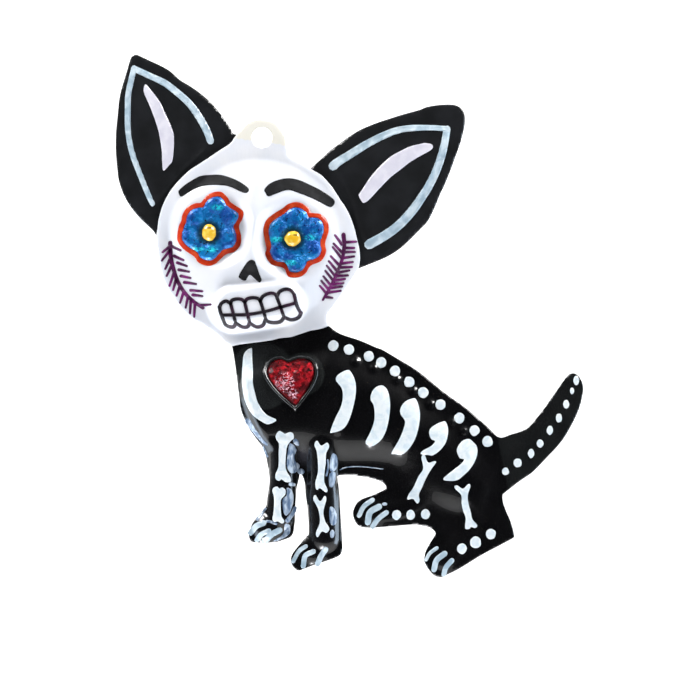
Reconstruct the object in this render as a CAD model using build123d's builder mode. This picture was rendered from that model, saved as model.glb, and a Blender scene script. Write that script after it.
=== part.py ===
from build123d import *
from math import hypot, sqrt
import os

# Hanging ornament of pressed and painted tinplate: a sitting chihuahua skeleton.
# The front faces -Y, +Z is up and the origin is the centre of the hanging hole.
# Lengths are in millimetres.
os.makedirs("parts", exist_ok=True)

# Tinplate and how the pieces are joined
sheet = 0.4
lap = 1.6
fit_gap = 0.05
overrun = 1.0
bead_radius = 1.2
bead_height = 0.7
bead_bevel = 0.4

# Head plate, from the hole down to the chin
hole_radius = 2.4
head_width = 46.7
head_drop = 48.1

# Body plate, from the chin's corner to the tail and the soles
trunk_length = 62.3
tail_reach = 18.5
trunk_depth = 29.6
leg_drop = 23.6

# Ears, from their roots on the head to their tips
left_ear_reach = 29.6
right_ear_reach = 37.4
ear_rise = 0.5
ear_wall_lean = 0.7
ear_corner_radius = 2.0

# Pressed forms: footprint, how far each stands above the rim, and the angle of its wall
dome_rim = 3.75
dome_rise = 4.6
muzzle_length = 24.5
muzzle_width = 13.5
muzzle_rise = 4.9
muzzle_tilt = 8.0
muzzle_wall_angle = 34.0
bridge_radius = 1.7
bridge_proud = 0.7
trunk_rise = 2.8
trunk_wall_lean = 2.5
trunk_corner_radius = 2.0
leg_half_width = 2.0
leg_rise = 1.5
paw_radius = 2.9
paw_rise = 1.7
haunch_radius = 7.0
haunch_rise = 0.9
haunch_wall_angle = 60.0
rib_half_width = 1.4
rib_rise = 0.6
vertebra_radius = 1.1
vertebra_rise = 0.5
vertebra_drop = 1.0

# Eye flowers, their sockets and rivets
socket_radius = 8.8
socket_rise = 1.9
petal_sheet = 0.3
petal_radius = 2.6
petal_rise = 0.8
eye_disc_radius = 4.4
rivet_head_radius = 1.8
rivet_head_rise = 1.3
rivet_head_rounding = 1.1
rivet_shank_radius = 0.9
rivet_tail_radius = 1.5
rivet_tail_rise = 0.6

# Heart, its raised rim and its folded tabs
heart_rise = 1.3
heart_shoulder = 0.35
heart_crown_inset = 1.6
heart_rim_width = 0.9
heart_rim_rise = 0.5
tab_width = 1.6
tab_fold = 1.4
tab_spacing = 4.4

# Pixels of the photograph between which the sizes above are measured
hole_pixel = (262.0, 137.5)
head_width_pixels = 203.0
head_drop_pixels = 209.0
chest_pixel, rump_pixel, tail_pixel = 232.0, 503.0, 583.3
chin_pixel, belly_pixel, sole_pixel = 346.5, 475.0, 577.4
left_ear_reach_pixels = 128.6
right_ear_reach_pixels = 162.6

# Outlines of the sheets in pixels, one list for each stretch between two corners
left_root_pixels = [(156, 235.5), (160, 216), (170, 192), (183, 176.5), (200, 163.7), (220, 150.3), (236.7, 134.6)]
head_top_pixels = [(236.7, 134.6), (245.5, 125.5), (261, 119.5), (277, 124.5), (285.5, 141), (289, 157), (310, 168.5)]
right_root_pixels = [(310, 168.5), (324, 178), (336, 192), (346, 208.5), (354, 227), (358.6, 247), (358.5, 268)]
right_jaw_pixels = [(358.5, 268), (349, 283), (338, 299.5), (328, 313), (329, 326)]
chin_line_pixels = [(329, 326), (299.8, 334.2), (270.3, 340.4), (232, 346.5)]
left_jaw_pixels = [(232, 346.5), (217, 334), (196, 322.5), (178, 303), (165, 282), (159.5, 258), (156, 235.5)]

left_ear_pixels = [
    [(156, 235.5), (141, 219.5), (128, 202), (118.5, 180), (115.7, 150), (118, 110), (124, 80), (130, 60)],
    [(130, 60), (136, 54.6), (142, 57)],
    [(142, 57), (163.7, 67.5), (190, 86), (210, 101.7), (225, 120.3), (236.7, 134.6)],
]
right_ear_pixels = [
    [(310, 168.5), (320, 159.7), (340, 143), (360, 129.8), (390, 118.4), (427, 107), (452, 104.6)],
    [(452, 104.6), (461, 108.5), (465, 119)],
    [(465, 119), (460, 144), (450, 171.8), (430, 217.4), (410, 239.6), (390, 255.2), (358.5, 268)],
]

chest_pixels = [(232, 346.5), (235.8, 370), (239.2, 397), (244.3, 418.6), (262.4, 447), (268, 467), (268.3, 490)]
front_paw_pixels = [(268.3, 490), (263, 511), (249.9, 530), (252.6, 542), (275.5, 542), (293, 533)]
leg_gap_pixels = [(293, 533), (295, 511), (296.5, 489.3), (300, 473.5), (304.9, 484), (308.5, 520)]
middle_paw_pixels = [(308.5, 520), (306.5, 536.3), (291, 559), (299, 570.6), (334, 558), (342, 546), (341, 520)]
middle_leg_pixels = [(341, 520), (339, 489.3), (337.4, 476.5)]
belly_pixels = [(337.4, 476.5), (357, 475.8), (379.8, 481), (386.4, 488.4)]
low_paw_pixels = [(386.4, 488.4), (371.4, 495.6), (357, 502.8), (354.5, 520), (369, 527.8), (414.6, 524.6), (435.6, 534)]
rear_paw_pixels = [(435.6, 534), (425.4, 552), (429, 570), (441, 577.4), (460, 568)]
sole_pixels = [(460, 568), (480.6, 555.6), (514.4, 537)]
rump_pixels = [(514.4, 537), (510, 519.6), (502.8, 496)]
tail_under_pixels = [(502.8, 496), (518, 482.4), (542.3, 462.5), (564.3, 437.6), (579, 409), (583.3, 388.5)]
tail_tip_pixels = [(583.3, 388.5), (580, 378), (573, 373.3), (565.8, 377.5)]
tail_top_pixels = [(565.8, 377.5), (557, 390), (540, 413.4), (527, 428.4), (510, 434.7), (497.6, 436.5)]
back_pixels = [(497.6, 436.5), (470, 411), (440, 389), (411, 366.5), (383, 350), (360, 340.4), (329, 326)]

# Pressed forms in pixels
dome_pixel = (258, 244)
muzzle_pixel = (258, 303)
bridge_pixels = [(257, 186), (254, 222), (252, 260)]
trunk_pixels = [
    (252, 350), (242, 376), (246, 404), (258, 427), (290, 457), (362, 463), (392, 474), (410, 505), (440, 519),
    (474, 524), (493, 512), (497, 482), (488, 455), (468, 428), (405, 380), (335, 347),
]
leg_pixels = [
    [(283, 440), (284, 482), (274, 528)],
    [(320, 444), (325, 495), (314, 548)],
    [(426, 506), (400, 511), (373, 512)],
    [(478, 498), (472, 530), (445, 557)],
]
paw_pixels = [(267, 530), (310, 550), (374, 512), (443, 558), (492, 524)]
haunch_pixel = (465, 478)
rib_pixels = [
    [(347, 379), (347, 404), (336, 427)],
    [(380, 393), (381, 418), (371, 440)],
    [(410, 406), (411, 428), (398, 449)],
    [(440, 429), (441, 442), (428, 451)],
    [(467, 448), (467, 465), (450, 476)],
]
vertebra_pixels = [(356, 364), (375, 372), (396, 384), (414, 396), (432, 410), (452, 426)]
left_panel_pixels = [(142, 74), (131, 92), (128, 130), (136, 165), (154, 195), (205, 148), (200, 118), (170, 92)]
right_panel_pixels = [(445, 133), (405, 133), (372, 146), (338, 170), (352, 192), (366, 237), (392, 224), (418, 197), (434, 165)]

# Places in pixels
left_eye_pixel = (212, 228.5)
right_eye_pixel = (296, 240)
left_rivet_pixel = (209.7, 233)
right_rivet_pixel = (293, 239)
left_petal_pixels = [(216, 204), (230.7, 217.9), (229.3, 238.2), (209.6, 253.7), (192.1, 238.2), (196.3, 218.6)]
right_petal_pixels = [(298, 216.5), (315.6, 229.8), (312.8, 250.8), (295.2, 263.5), (277.7, 253.7), (277, 227)]
heart_cleft_pixel = (290, 363)
heart_tip_pixel = (295.5, 408)
heart_left_pixels = [(279, 357.5), (267.5, 370), (276, 391)]
heart_right_pixels = [(308, 389), (315, 370), (303, 357)]
heart_tab_pixel = (291, 375)
left_bead_pixels = [(171.5, 195), (205, 165.5)]
right_bead_pixels = [(328, 188), (350, 225)]
neck_bead_pixels = [(253, 338.5), (300, 329)]

# The head's sheet is centred on the origin; ears and body lie one sheet behind it
head_back = -sheet / 2
head_front = head_back + sheet
rear_back = head_back - sheet
rear_front = head_back


def head_place(pixel):
    """Place a pixel of the head, measured from the hanging hole."""
    across = (pixel[0] - hole_pixel[0]) * head_width / head_width_pixels
    up = (hole_pixel[1] - pixel[1]) * head_drop / head_drop_pixels
    return across, up


def body_place(pixel):
    """Place a pixel of the body; the tail and the legs have lengths of their own."""
    corner = head_place((chest_pixel, chin_pixel))
    along_trunk = (min(pixel[0], rump_pixel) - chest_pixel) / (rump_pixel - chest_pixel)
    along_tail = max(pixel[0] - rump_pixel, 0) / (tail_pixel - rump_pixel)
    down_trunk = (min(pixel[1], belly_pixel) - chin_pixel) / (belly_pixel - chin_pixel)
    down_legs = max(pixel[1] - belly_pixel, 0) / (sole_pixel - belly_pixel)
    across = corner[0] + along_trunk * trunk_length + along_tail * tail_reach
    up = corner[1] - down_trunk * trunk_depth - down_legs * leg_drop
    return across, up


def ear_placer(root_pixels, reach, reach_pixels):
    """Return the function that places an ear's pixels from its root line on the head."""
    start, end = root_pixels[0], root_pixels[-1]
    run = (end[0] - start[0], start[1] - end[1])
    run_length = hypot(*run)
    first, last = head_place(start), head_place(end)
    chord = (last[0] - first[0], last[1] - first[1])
    chord_length = hypot(*chord)

    def place(pixel):
        across, up = pixel[0] - start[0], start[1] - pixel[1]
        along = (across * run[0] + up * run[1]) / run_length**2
        off = (run[0] * up - run[1] * across) / run_length * reach / reach_pixels / chord_length
        return first[0] + along * chord[0] - off * chord[1], first[1] + along * chord[1] + off * chord[0]

    return place


def place_all(pixels, place):
    """Place each pixel of a list."""
    return [place(pixel) for pixel in pixels]


def at(place, height):
    """Point in space at a place on the front, and at a height above the head's middle plane."""
    return place[0], -height, place[1]


def ball_radius(half_width, rise):
    """Radius of the ball or bar that stands so high over a footprint so wide."""
    return (half_width**2 + rise**2) / (2 * rise)


def press_ball(place, base, half_width, rise, inner=False):
    """Press a round dome, or cut the hollow a sheet behind it."""
    radius = ball_radius(half_width, rise)
    with Locations(at(place, base + rise - radius)):
        Sphere(radius - sheet if inner else radius, rotation=(90, 0, 0), mode=Mode.SUBTRACT if inner else Mode.ADD)


def press_disc(place, base, radius, rise, wall_angle, inner=False):
    """Press a low round boss with a sloping wall, or cut its hollow."""
    inset, depth = (sheet / 2, sheet) if inner else (0, 0)
    with BuildSketch(Plane.XZ.offset(base - depth)) as foot:
        with Locations(place):
            Circle(radius - inset)
    extrude(foot.sketch, amount=rise, taper=wall_angle, mode=Mode.SUBTRACT if inner else Mode.ADD)


def press_bar(points, radius, inner=False):
    """Press a half-round ridge through three points of its middle line, or cut its hollow."""
    mode = Mode.SUBTRACT if inner else Mode.ADD
    thickness = radius - sheet if inner else radius
    with BuildLine() as middle:
        ThreePointArc(*points)
    with BuildSketch(Plane(origin=middle.line @ 0, z_dir=middle.line % 0)) as section:
        Circle(thickness)
    sweep(section.sketch, path=middle.line, mode=mode)
    with Locations(middle.line @ 0, middle.line @ 1):
        Sphere(thickness, mode=mode)


def press_ridge(places, base, half_width, rise, inner=False):
    """Press a level ridge through three places."""
    radius = ball_radius(half_width, rise)
    press_bar([at(place, base + rise - radius) for place in places], radius, inner)


def moved_in(points, distance):
    """Move the points of a closed curve, drawn anticlockwise, sideways to its inner side."""
    moved = []
    for index, (across, up) in enumerate(points):
        before, after = points[index - 1], points[(index + 1) % len(points)]
        run = (after[0] - before[0], after[1] - before[1])
        length = hypot(*run)
        moved.append((across - distance * run[1] / length, up + distance * run[0] / length))
    return moved


def press_panel(places, base, rise, corner_radius, lean, inner=False):
    """Press a flat-topped panel whose walls lean in, or cut its hollow."""
    inset, depth = (sheet / 2, sheet) if inner else (0, 0)
    rings = []
    for shift, height in [(0, base), (lean, base + rise)]:
        with BuildLine() as outline:
            FilletPolyline(*moved_in(places, inset + shift), radius=corner_radius, close=True)
        with BuildSketch(Plane.XZ.offset(height - depth)) as ring:
            make_face(outline.edges())
        rings.append(ring.sketch)
    loft(rings, ruled=True, mode=Mode.SUBTRACT if inner else Mode.ADD)


def draw_outline(stretches):
    """Draw the face of an outline, one curve for each stretch of places."""
    with BuildLine() as outline:
        for stretch in stretches:
            Spline(*stretch)
    make_face(outline.edges())


def cut_behind(back):
    """Cut away what the balls and bars leave behind the back of a sheet."""
    with BuildSketch(Plane.XZ.offset(back)) as behind:
        Circle(head_width + trunk_length)
    extrude(behind.sketch, amount=-(head_width + trunk_length), mode=Mode.SUBTRACT)


def lapped(pixels):
    """Places of a root line, run behind the head by the lap between its two ends."""
    line = place_all(pixels, head_place)
    hidden = [line[0]]
    for before, point, after in zip(line, line[1:], line[2:]):
        run = (after[0] - before[0], after[1] - before[1])
        shift = lap / hypot(*run)
        hidden.append((point[0] + shift * run[1], point[1] - shift * run[0]))
    return hidden + [line[-1]]


# Head plate: skull, muzzle and nose bridge pressed forward from a flat rim with the hanging tab
dome_place = head_place(dome_pixel)
muzzle_place = head_place(muzzle_pixel)
socket_places = place_all([left_eye_pixel, right_eye_pixel], head_place)
rivet_places = place_all([left_rivet_pixel, right_rivet_pixel], head_place)
socket_front = head_front + socket_rise
dome_radius = head_width / 2 - dome_rim
dome_ball = ball_radius(dome_radius, dome_rise)


def bridge_point(place):
    """Point of the nose bridge's middle line, which follows the dome."""
    away = hypot(place[0] - dome_place[0], place[1] - dome_place[1])
    dome_height = head_front + dome_rise - dome_ball + sqrt(dome_ball**2 - away**2)
    return at(place, dome_height + bridge_proud - bridge_radius)


bridge_points = [bridge_point(head_place(pixel)) for pixel in bridge_pixels]


def draw_muzzle(base, thinner=0):
    """Draw the muzzle's rounded foot."""
    with BuildSketch(Plane.XZ.offset(base)) as foot:
        with Locations(muzzle_place):
            SlotOverall(muzzle_length - thinner, muzzle_width - thinner, rotation=muzzle_tilt)
    return foot.sketch


with BuildPart() as head_hollow:
    with Locations(at(dome_place, head_front + dome_rise - dome_ball)):
        Sphere(dome_ball - sheet)
    extrude(draw_muzzle(head_back, sheet), amount=muzzle_rise, taper=muzzle_wall_angle)
    with BuildSketch(Plane.XZ.offset(socket_front - sheet)):
        with Locations(*socket_places):
            Circle(socket_radius + sheet)
    extrude(amount=dome_rise + muzzle_rise, mode=Mode.SUBTRACT)

with BuildPart() as head_plate:
    press_ball(dome_place, head_front, dome_radius, dome_rise)
    cut_behind(head_back)
    with BuildSketch(Plane.XZ.offset(head_back)):
        draw_outline([
            place_all(stretch, head_place)
            for stretch in [
                left_root_pixels, head_top_pixels, right_root_pixels,
                right_jaw_pixels, chin_line_pixels, left_jaw_pixels,
            ]
        ])
    extrude(amount=sheet)
    extrude(draw_muzzle(head_front), amount=muzzle_rise, taper=muzzle_wall_angle)
    press_bar(bridge_points, bridge_radius)
    with BuildSketch(Plane.XZ.offset(socket_front)):
        with Locations(*socket_places):
            Circle(socket_radius)
    extrude(amount=dome_rise + muzzle_rise, mode=Mode.SUBTRACT)
    add(head_hollow.part, mode=Mode.SUBTRACT)
    with BuildSketch(Plane.XZ.offset(head_back - overrun)):
        Circle(hole_radius)
        with Locations(*rivet_places):
            Circle(rivet_shank_radius + fit_gap)
    extrude(amount=dome_rise + overrun, mode=Mode.SUBTRACT)

# Ears: flat sheets with a raised inner panel, their roots lapped behind the head's rim
ears = {}
for name, edge_pixels, root_pixels, panel_pixels, reach, reach_pixels in [
    ("left_ear", left_ear_pixels, left_root_pixels, left_panel_pixels, left_ear_reach, left_ear_reach_pixels),
    ("right_ear", right_ear_pixels, right_root_pixels, right_panel_pixels, right_ear_reach, right_ear_reach_pixels),
]:
    place = ear_placer(root_pixels, reach, reach_pixels)
    with BuildPart() as ear:
        with BuildSketch(Plane.XZ.offset(rear_back)):
            draw_outline([place_all(stretch, place) for stretch in edge_pixels] + [lapped(root_pixels)])
        extrude(amount=sheet)
        panel_places = place_all(panel_pixels, place)
        press_panel(panel_places, rear_front, ear_rise, ear_corner_radius, ear_wall_lean)
        press_panel(panel_places, rear_front, ear_rise, ear_corner_radius, ear_wall_lean, inner=True)
    ears[name] = ear

# Heart: a puffed heart in a raised rim, held by two tabs folded flat behind the trunk
trunk_front = rear_front + trunk_rise


def draw_heart(height, grown=0):
    """Draw the heart's outline, its points moved outwards by a width."""
    middle = body_place(heart_tab_pixel)
    pixels = [heart_cleft_pixel, *heart_left_pixels, heart_tip_pixel, *heart_right_pixels]
    places = []
    for across, up in place_all(pixels, body_place):
        ray = (across - middle[0], up - middle[1])
        factor = 1 + grown / hypot(*ray)
        places.append((middle[0] + factor * ray[0], middle[1] + factor * ray[1]))
    tip_index = len(heart_left_pixels) + 1
    with BuildSketch(Plane.XZ.offset(height)) as heart_face:
        draw_outline([places[: tip_index + 1], places[tip_index:] + places[:1]])
    return heart_face.sketch


heart_tab_place = body_place(heart_tab_pixel)

with BuildPart() as heart:
    loft([
        draw_heart(trunk_front),
        draw_heart(trunk_front + heart_rise / 2, -heart_shoulder),
        draw_heart(trunk_front + heart_rise, -heart_crown_inset),
    ])
    with BuildSketch(Plane.XZ.offset(trunk_front)):
        with Locations(heart_tab_place):
            with GridLocations(tab_spacing, 0, 2, 1):
                Rectangle(petal_sheet, tab_width)
    extrude(amount=-(sheet + petal_sheet))
    with BuildSketch(Plane.XZ.offset(trunk_front - sheet)):
        with Locations(heart_tab_place):
            with GridLocations(tab_spacing - tab_fold + petal_sheet, 0, 2, 1):
                Rectangle(tab_fold, tab_width)
    extrude(amount=-petal_sheet)

# Body plate: trunk, legs, haunch, ribs and backbone pressed forward, with the tail left flat
body_stretches = [
    chest_pixels, front_paw_pixels, leg_gap_pixels, middle_paw_pixels, middle_leg_pixels, belly_pixels,
    low_paw_pixels, rear_paw_pixels, sole_pixels, rump_pixels, tail_under_pixels, tail_tip_pixels,
    tail_top_pixels,
]
trunk_places = place_all(trunk_pixels, body_place)
nape = head_place(back_pixels[-1])

with BuildPart() as body_plate:
    for pixel in vertebra_pixels:
        press_ball(body_place(pixel), trunk_front - vertebra_drop, vertebra_radius, vertebra_rise)
    for inner in (False, True):
        if inner:
            cut_behind(rear_back)
            with BuildSketch(Plane.XZ.offset(rear_back)):
                draw_outline(
                    [place_all(stretch, body_place) for stretch in body_stretches]
                    + [place_all(back_pixels[:-1], body_place) + [nape]]
                    + [lapped(chin_line_pixels)]
                )
            extrude(amount=sheet)
        press_panel(trunk_places, rear_front, trunk_rise, trunk_corner_radius, trunk_wall_lean, inner)
        for pixels in leg_pixels:
            press_ridge(place_all(pixels, body_place), rear_front, leg_half_width, leg_rise, inner)
        for pixel in paw_pixels:
            press_ball(body_place(pixel), rear_front, paw_radius, paw_rise, inner)
        press_disc(body_place(haunch_pixel), trunk_front, haunch_radius, haunch_rise, haunch_wall_angle, inner)
        for pixels in rib_pixels:
            press_ridge(place_all(pixels, body_place), trunk_front, rib_half_width, rib_rise, inner)
    extrude(draw_heart(trunk_front, heart_rim_width), amount=heart_rim_rise)
    extrude(draw_heart(trunk_front, fit_gap), amount=heart_rim_rise, mode=Mode.SUBTRACT)
    with BuildSketch(Plane.XZ.offset(trunk_front)):
        with Locations(heart_tab_place):
            with GridLocations(tab_spacing, 0, 2, 1):
                Rectangle(petal_sheet + 2 * fit_gap, tab_width + 2 * fit_gap)
    extrude(amount=-sheet, mode=Mode.SUBTRACT)

# Eye flowers: six domed petals round a flat seat, one flower in each socket
flowers = {}
for name, petal_pixels, rivet_place in [
    ("left_eye_flower", left_petal_pixels, rivet_places[0]),
    ("right_eye_flower", right_petal_pixels, rivet_places[1]),
]:
    petal_places = place_all(petal_pixels, head_place)
    petal_ball = ball_radius(petal_radius, petal_rise)
    with BuildPart() as flower:
        for place in petal_places:
            press_ball(place, socket_front + petal_sheet, petal_radius, petal_rise)
        cut_behind(socket_front)
        with BuildSketch(Plane.XZ.offset(socket_front)):
            with Locations(rivet_place):
                Circle(eye_disc_radius)
            with Locations(*petal_places):
                Circle(petal_radius)
        extrude(amount=petal_sheet)
        with Locations(*[at(place, socket_front + petal_rise - petal_ball + petal_sheet) for place in petal_places]):
            Sphere(petal_ball - petal_sheet, mode=Mode.SUBTRACT)
        with BuildSketch(Plane.XZ.offset(socket_front)):
            with Locations(rivet_place):
                Circle(rivet_shank_radius + fit_gap)
        extrude(amount=petal_sheet, mode=Mode.SUBTRACT)
        with BuildSketch(Plane.XZ.offset(socket_front + petal_sheet)):
            with Locations(rivet_place):
                Circle(rivet_head_radius + fit_gap)
        extrude(amount=petal_rise, mode=Mode.SUBTRACT)
    flowers[name] = flower

# Eye rivets: a domed head on the flower, a shank through flower and skull, and a tail spread behind
rivets = {}
for name, rivet_place in [("left_eye_rivet", rivet_places[0]), ("right_eye_rivet", rivet_places[1])]:
    with BuildPart() as rivet:
        with BuildSketch(Plane.XZ.offset(socket_front + petal_sheet)):
            with Locations(rivet_place):
                Circle(rivet_head_radius)
        extrude(amount=rivet_head_rise)
        fillet(rivet.edges().sort_by(Axis.Y)[0], radius=rivet_head_rounding)
        with BuildSketch(Plane.XZ.offset(socket_front + petal_sheet)):
            with Locations(rivet_place):
                Circle(rivet_shank_radius)
        extrude(amount=-(petal_sheet + sheet + rivet_tail_rise))
        with BuildSketch(Plane.XZ.offset(socket_front - sheet)):
            with Locations(rivet_place):
                Circle(rivet_tail_radius)
        extrude(amount=-rivet_tail_rise)
        chamfer(rivet.edges().sort_by(Axis.Y)[-1], length=rivet_tail_rise / 2)
    rivets[name] = rivet

# Solder: beads on the back that bridge the edge of a lapped sheet and the head's rim
solder = {}
for name, bead_places, lapped_sheet in [
    ("left_ear_solder", place_all(left_bead_pixels, head_place), ears["left_ear"]),
    ("right_ear_solder", place_all(right_bead_pixels, head_place), ears["right_ear"]),
    ("neck_solder", place_all(neck_bead_pixels, head_place), body_plate),
]:
    with BuildPart() as beads:
        with BuildSketch(Plane.XZ.offset(rear_back - bead_height)):
            with Locations(*bead_places):
                Circle(bead_radius)
        extrude(amount=bead_height + sheet)
        chamfer(beads.edges().group_by(Axis.Y)[-1], length=bead_bevel)
        add(lapped_sheet.part, mode=Mode.SUBTRACT)
    solder[name] = beads

parts = {"head_plate": head_plate, "body_plate": body_plate, "heart": heart, **ears, **flowers, **rivets, **solder}
for name, piece in parts.items():
    piece.part.label = name
    export_step(piece.part, f"parts/{name}.step")
    print(name, len(piece.part.solids()), round(piece.part.volume, 1))
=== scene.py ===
import math

import bmesh
import bpy
import numpy as np
from mathutils import Matrix, Vector, noise


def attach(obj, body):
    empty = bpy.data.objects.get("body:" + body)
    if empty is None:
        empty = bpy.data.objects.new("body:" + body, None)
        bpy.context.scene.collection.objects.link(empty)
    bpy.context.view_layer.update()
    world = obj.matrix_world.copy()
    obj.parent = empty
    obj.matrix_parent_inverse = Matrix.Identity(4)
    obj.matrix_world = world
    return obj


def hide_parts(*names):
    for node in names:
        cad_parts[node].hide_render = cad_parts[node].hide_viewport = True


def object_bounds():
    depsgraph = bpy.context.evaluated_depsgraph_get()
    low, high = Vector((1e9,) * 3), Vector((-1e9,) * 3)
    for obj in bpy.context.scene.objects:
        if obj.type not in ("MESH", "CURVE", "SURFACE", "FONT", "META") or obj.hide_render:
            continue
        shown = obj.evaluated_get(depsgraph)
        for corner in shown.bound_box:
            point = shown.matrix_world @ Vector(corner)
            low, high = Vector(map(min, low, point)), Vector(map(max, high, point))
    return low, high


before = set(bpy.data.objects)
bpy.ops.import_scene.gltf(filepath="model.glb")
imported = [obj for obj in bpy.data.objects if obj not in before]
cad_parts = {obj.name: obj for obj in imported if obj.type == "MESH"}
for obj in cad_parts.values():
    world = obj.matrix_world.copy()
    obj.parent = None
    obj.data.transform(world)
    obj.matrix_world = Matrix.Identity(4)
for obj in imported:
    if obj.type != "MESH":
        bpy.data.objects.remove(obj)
cad_low, cad_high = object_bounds()


# Head plate. The skull is one sheet of tinplate, pressed into a dome with a muzzle, a nose bridge and two
# eye sockets, under a tab with the hanging hole. White enamel is brushed over the front and stops short of
# the tab's top; the back is bare tin.
mm = 0.001
object_width_pixels = 467.6
pixel_size = (cad_high.x - cad_low.x) / object_width_pixels
hole_pixel = (262.0, 137.5)
hole_radius, hole_sides = 2.4 * mm, 40
sheet = 0.4 * mm
head_front = sheet / 2
head_cell = 0.4 * mm
edge_roll, edge_roll_width = 0.14 * mm, 0.6 * mm
dome_pixel, dome_radius, dome_rise = (258, 244), 19.6 * mm, 4.6 * mm
muzzle_pixel, muzzle_length, muzzle_width, muzzle_rise = (258, 303), 24.5 * mm, 13.5 * mm, 4.6 * mm
muzzle_tilt, muzzle_slope, muzzle_crease = math.radians(8), 3.6 * mm, 1.2 * mm
bridge_pixels, bridge_half_width, bridge_rise = [(257, 186), (254, 222), (252, 262)], 3.0 * mm, 0.6 * mm
socket_pixels = [(212, 228.5), (296, 240)]
socket_radius, socket_slope, socket_rise = 8.8 * mm, 1.6 * mm, 1.9 * mm
left_root_pixels = [
    (156.4, 235.8), (157.7, 227.7), (159, 218.3), (163, 205), (170, 191.7), (179.7, 179.7), (190.3, 170),
    (200, 163.7), (210, 157), (220, 150.3), (230, 143.7), (236.7, 134.6),
]
tab_pixels = [
    (236.7, 134.6), (242, 129.5), (246.3, 124.7), (252, 121.5), (259.3, 119.8), (269, 121.2), (277, 125),
    (282, 132), (285.6, 140), (286.6, 150), (289.5, 157.4), (301.8, 164.2), (310, 168.5),
]
right_root_pixels = [
    (310, 168.5), (314.4, 171.2), (319.8, 174.2), (324, 177.8), (330, 184.4), (334, 189.8), (340, 199.4),
    (345, 206.6), (350, 216.2), (354, 227), (357, 239), (359.4, 249.8), (360, 260), (358.4, 268.6),
]
right_jaw_pixels = [(358.4, 268.6), (349, 283), (338, 299.5), (328, 313), (326.5, 319), (329, 326)]
chin_pixels = [
    (329, 326), (320, 329), (310, 330.8), (299.8, 334.2), (290.7, 337), (280.5, 338.1), (270.3, 340.4),
    (253.3, 342.7), (239.7, 344.4), (232, 346.3),
]
left_jaw_pixels = [
    (232, 346.3), (223.4, 340.3), (216.9, 333.8), (205.4, 325.6), (195.6, 320.5), (185.8, 312.5),
    (177.7, 302.7), (169.5, 290), (164.6, 280.5), (161.3, 269.5), (159.2, 257), (157.6, 245.6),
    (156.4, 235.8),
]
paint_top_pixels = [(236, 138.5), (286, 146)]
ragged_size, ragged_depth, paint_blend = 1.5 * mm, 1.2 * mm, 0.15 * mm


def place(pixel):
    """Place across and up of a pixel, measured from the hanging hole."""
    return np.array([(pixel[0] - hole_pixel[0]) * pixel_size, (hole_pixel[1] - pixel[1]) * pixel_size])


def curve_through(points, closed=False, parts=5):
    """Round a line off through its points."""
    points = [np.array(point, float) for point in points]
    if closed:
        ring = [points[-1], *points, points[0], points[1]]
    else:
        ring = [2 * points[0] - points[1], *points, 2 * points[-1] - points[-2]]
    line = []
    for before, start, end, after in zip(ring, ring[1:], ring[2:], ring[3:]):
        for part in range(parts):
            t = part / parts
            bend = 2 * before - 5 * start + 4 * end - after + t * (3 * start - 3 * end + after - before)
            line.append(start + t / 2 * (end - before + t * bend))
    return line if closed else line + [points[-1]]


def line_of(pixels, closed=False, parts=5):
    """Rounded line through the places of pixels."""
    return curve_through([place(pixel) for pixel in pixels], closed, parts)


def outline_of(stretches):
    """Outline of a sheet from its rounded stretches, which meet at corners."""
    return [point for stretch in stretches for point in line_of(stretch)[:-1]]


def eased(share):
    """Share from 0 to 1 with soft ends."""
    share = np.clip(share, 0, 1)
    return share * share * (3 - 2 * share)


def away_from(pixel, across, up):
    """Distance of every place to a pixel's place."""
    middle = place(pixel)
    return np.hypot(across - middle[0], up - middle[1])


def distance_to(line, across, up, closed=False):
    """Distance of every place to a line of points."""
    nearest = np.full(np.shape(across), 1.0)
    for start, end in zip(line, line[1:] + line[:1] if closed else line[1:]):
        run = end - start
        share = ((across - start[0]) * run[0] + (up - start[1]) * run[1]) / max(run @ run, 1e-18)
        share = np.clip(share, 0, 1)
        away = np.hypot(across - start[0] - share * run[0], up - start[1] - share * run[1])
        nearest = np.minimum(nearest, away)
    return nearest


def depth_inside(line, across, up):
    """Distance inside a closed line, and 0 outside it."""
    inside = np.zeros(np.shape(across), bool)
    for start, end in zip(line, line[1:] + line[:1]):
        if start[1] != end[1]:
            level = (start[1] > up) != (end[1] > up)
            crossing = (end[0] - start[0]) * (up - start[1]) / (end[1] - start[1]) + start[0]
            inside ^= level & (across < crossing)
    return np.where(inside, distance_to(line, across, up, closed=True), 0)


def cap(away, radius, rise):
    """Height of a pressed round cap."""
    ball = (radius**2 + rise**2) / (2 * rise)
    return np.maximum(np.sqrt(np.maximum(ball**2 - away**2, 0)) - (ball - rise), 0)


def soft_higher(first, second, softness):
    """The higher of two heights, with a soft crease between them."""
    near = np.maximum(softness - np.abs(first - second), 0) / softness
    return np.maximum(first, second) + near * near * softness / 4


def rolled(line, across, up):
    """How far the edge of a cut sheet is rolled back."""
    from_edge = distance_to(line, across, up, closed=True)
    return edge_roll * (1 - eased(from_edge / edge_roll_width)) ** 2


head_outline = outline_of([
    left_root_pixels, tab_pixels, right_root_pixels, right_jaw_pixels, chin_pixels, left_jaw_pixels,
])
muzzle_reach = (muzzle_length - muzzle_width) / 2 * np.array([math.cos(muzzle_tilt), math.sin(muzzle_tilt)])
muzzle_line = [place(muzzle_pixel) - muzzle_reach, place(muzzle_pixel) + muzzle_reach]
bridge_line = line_of(bridge_pixels)


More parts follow.
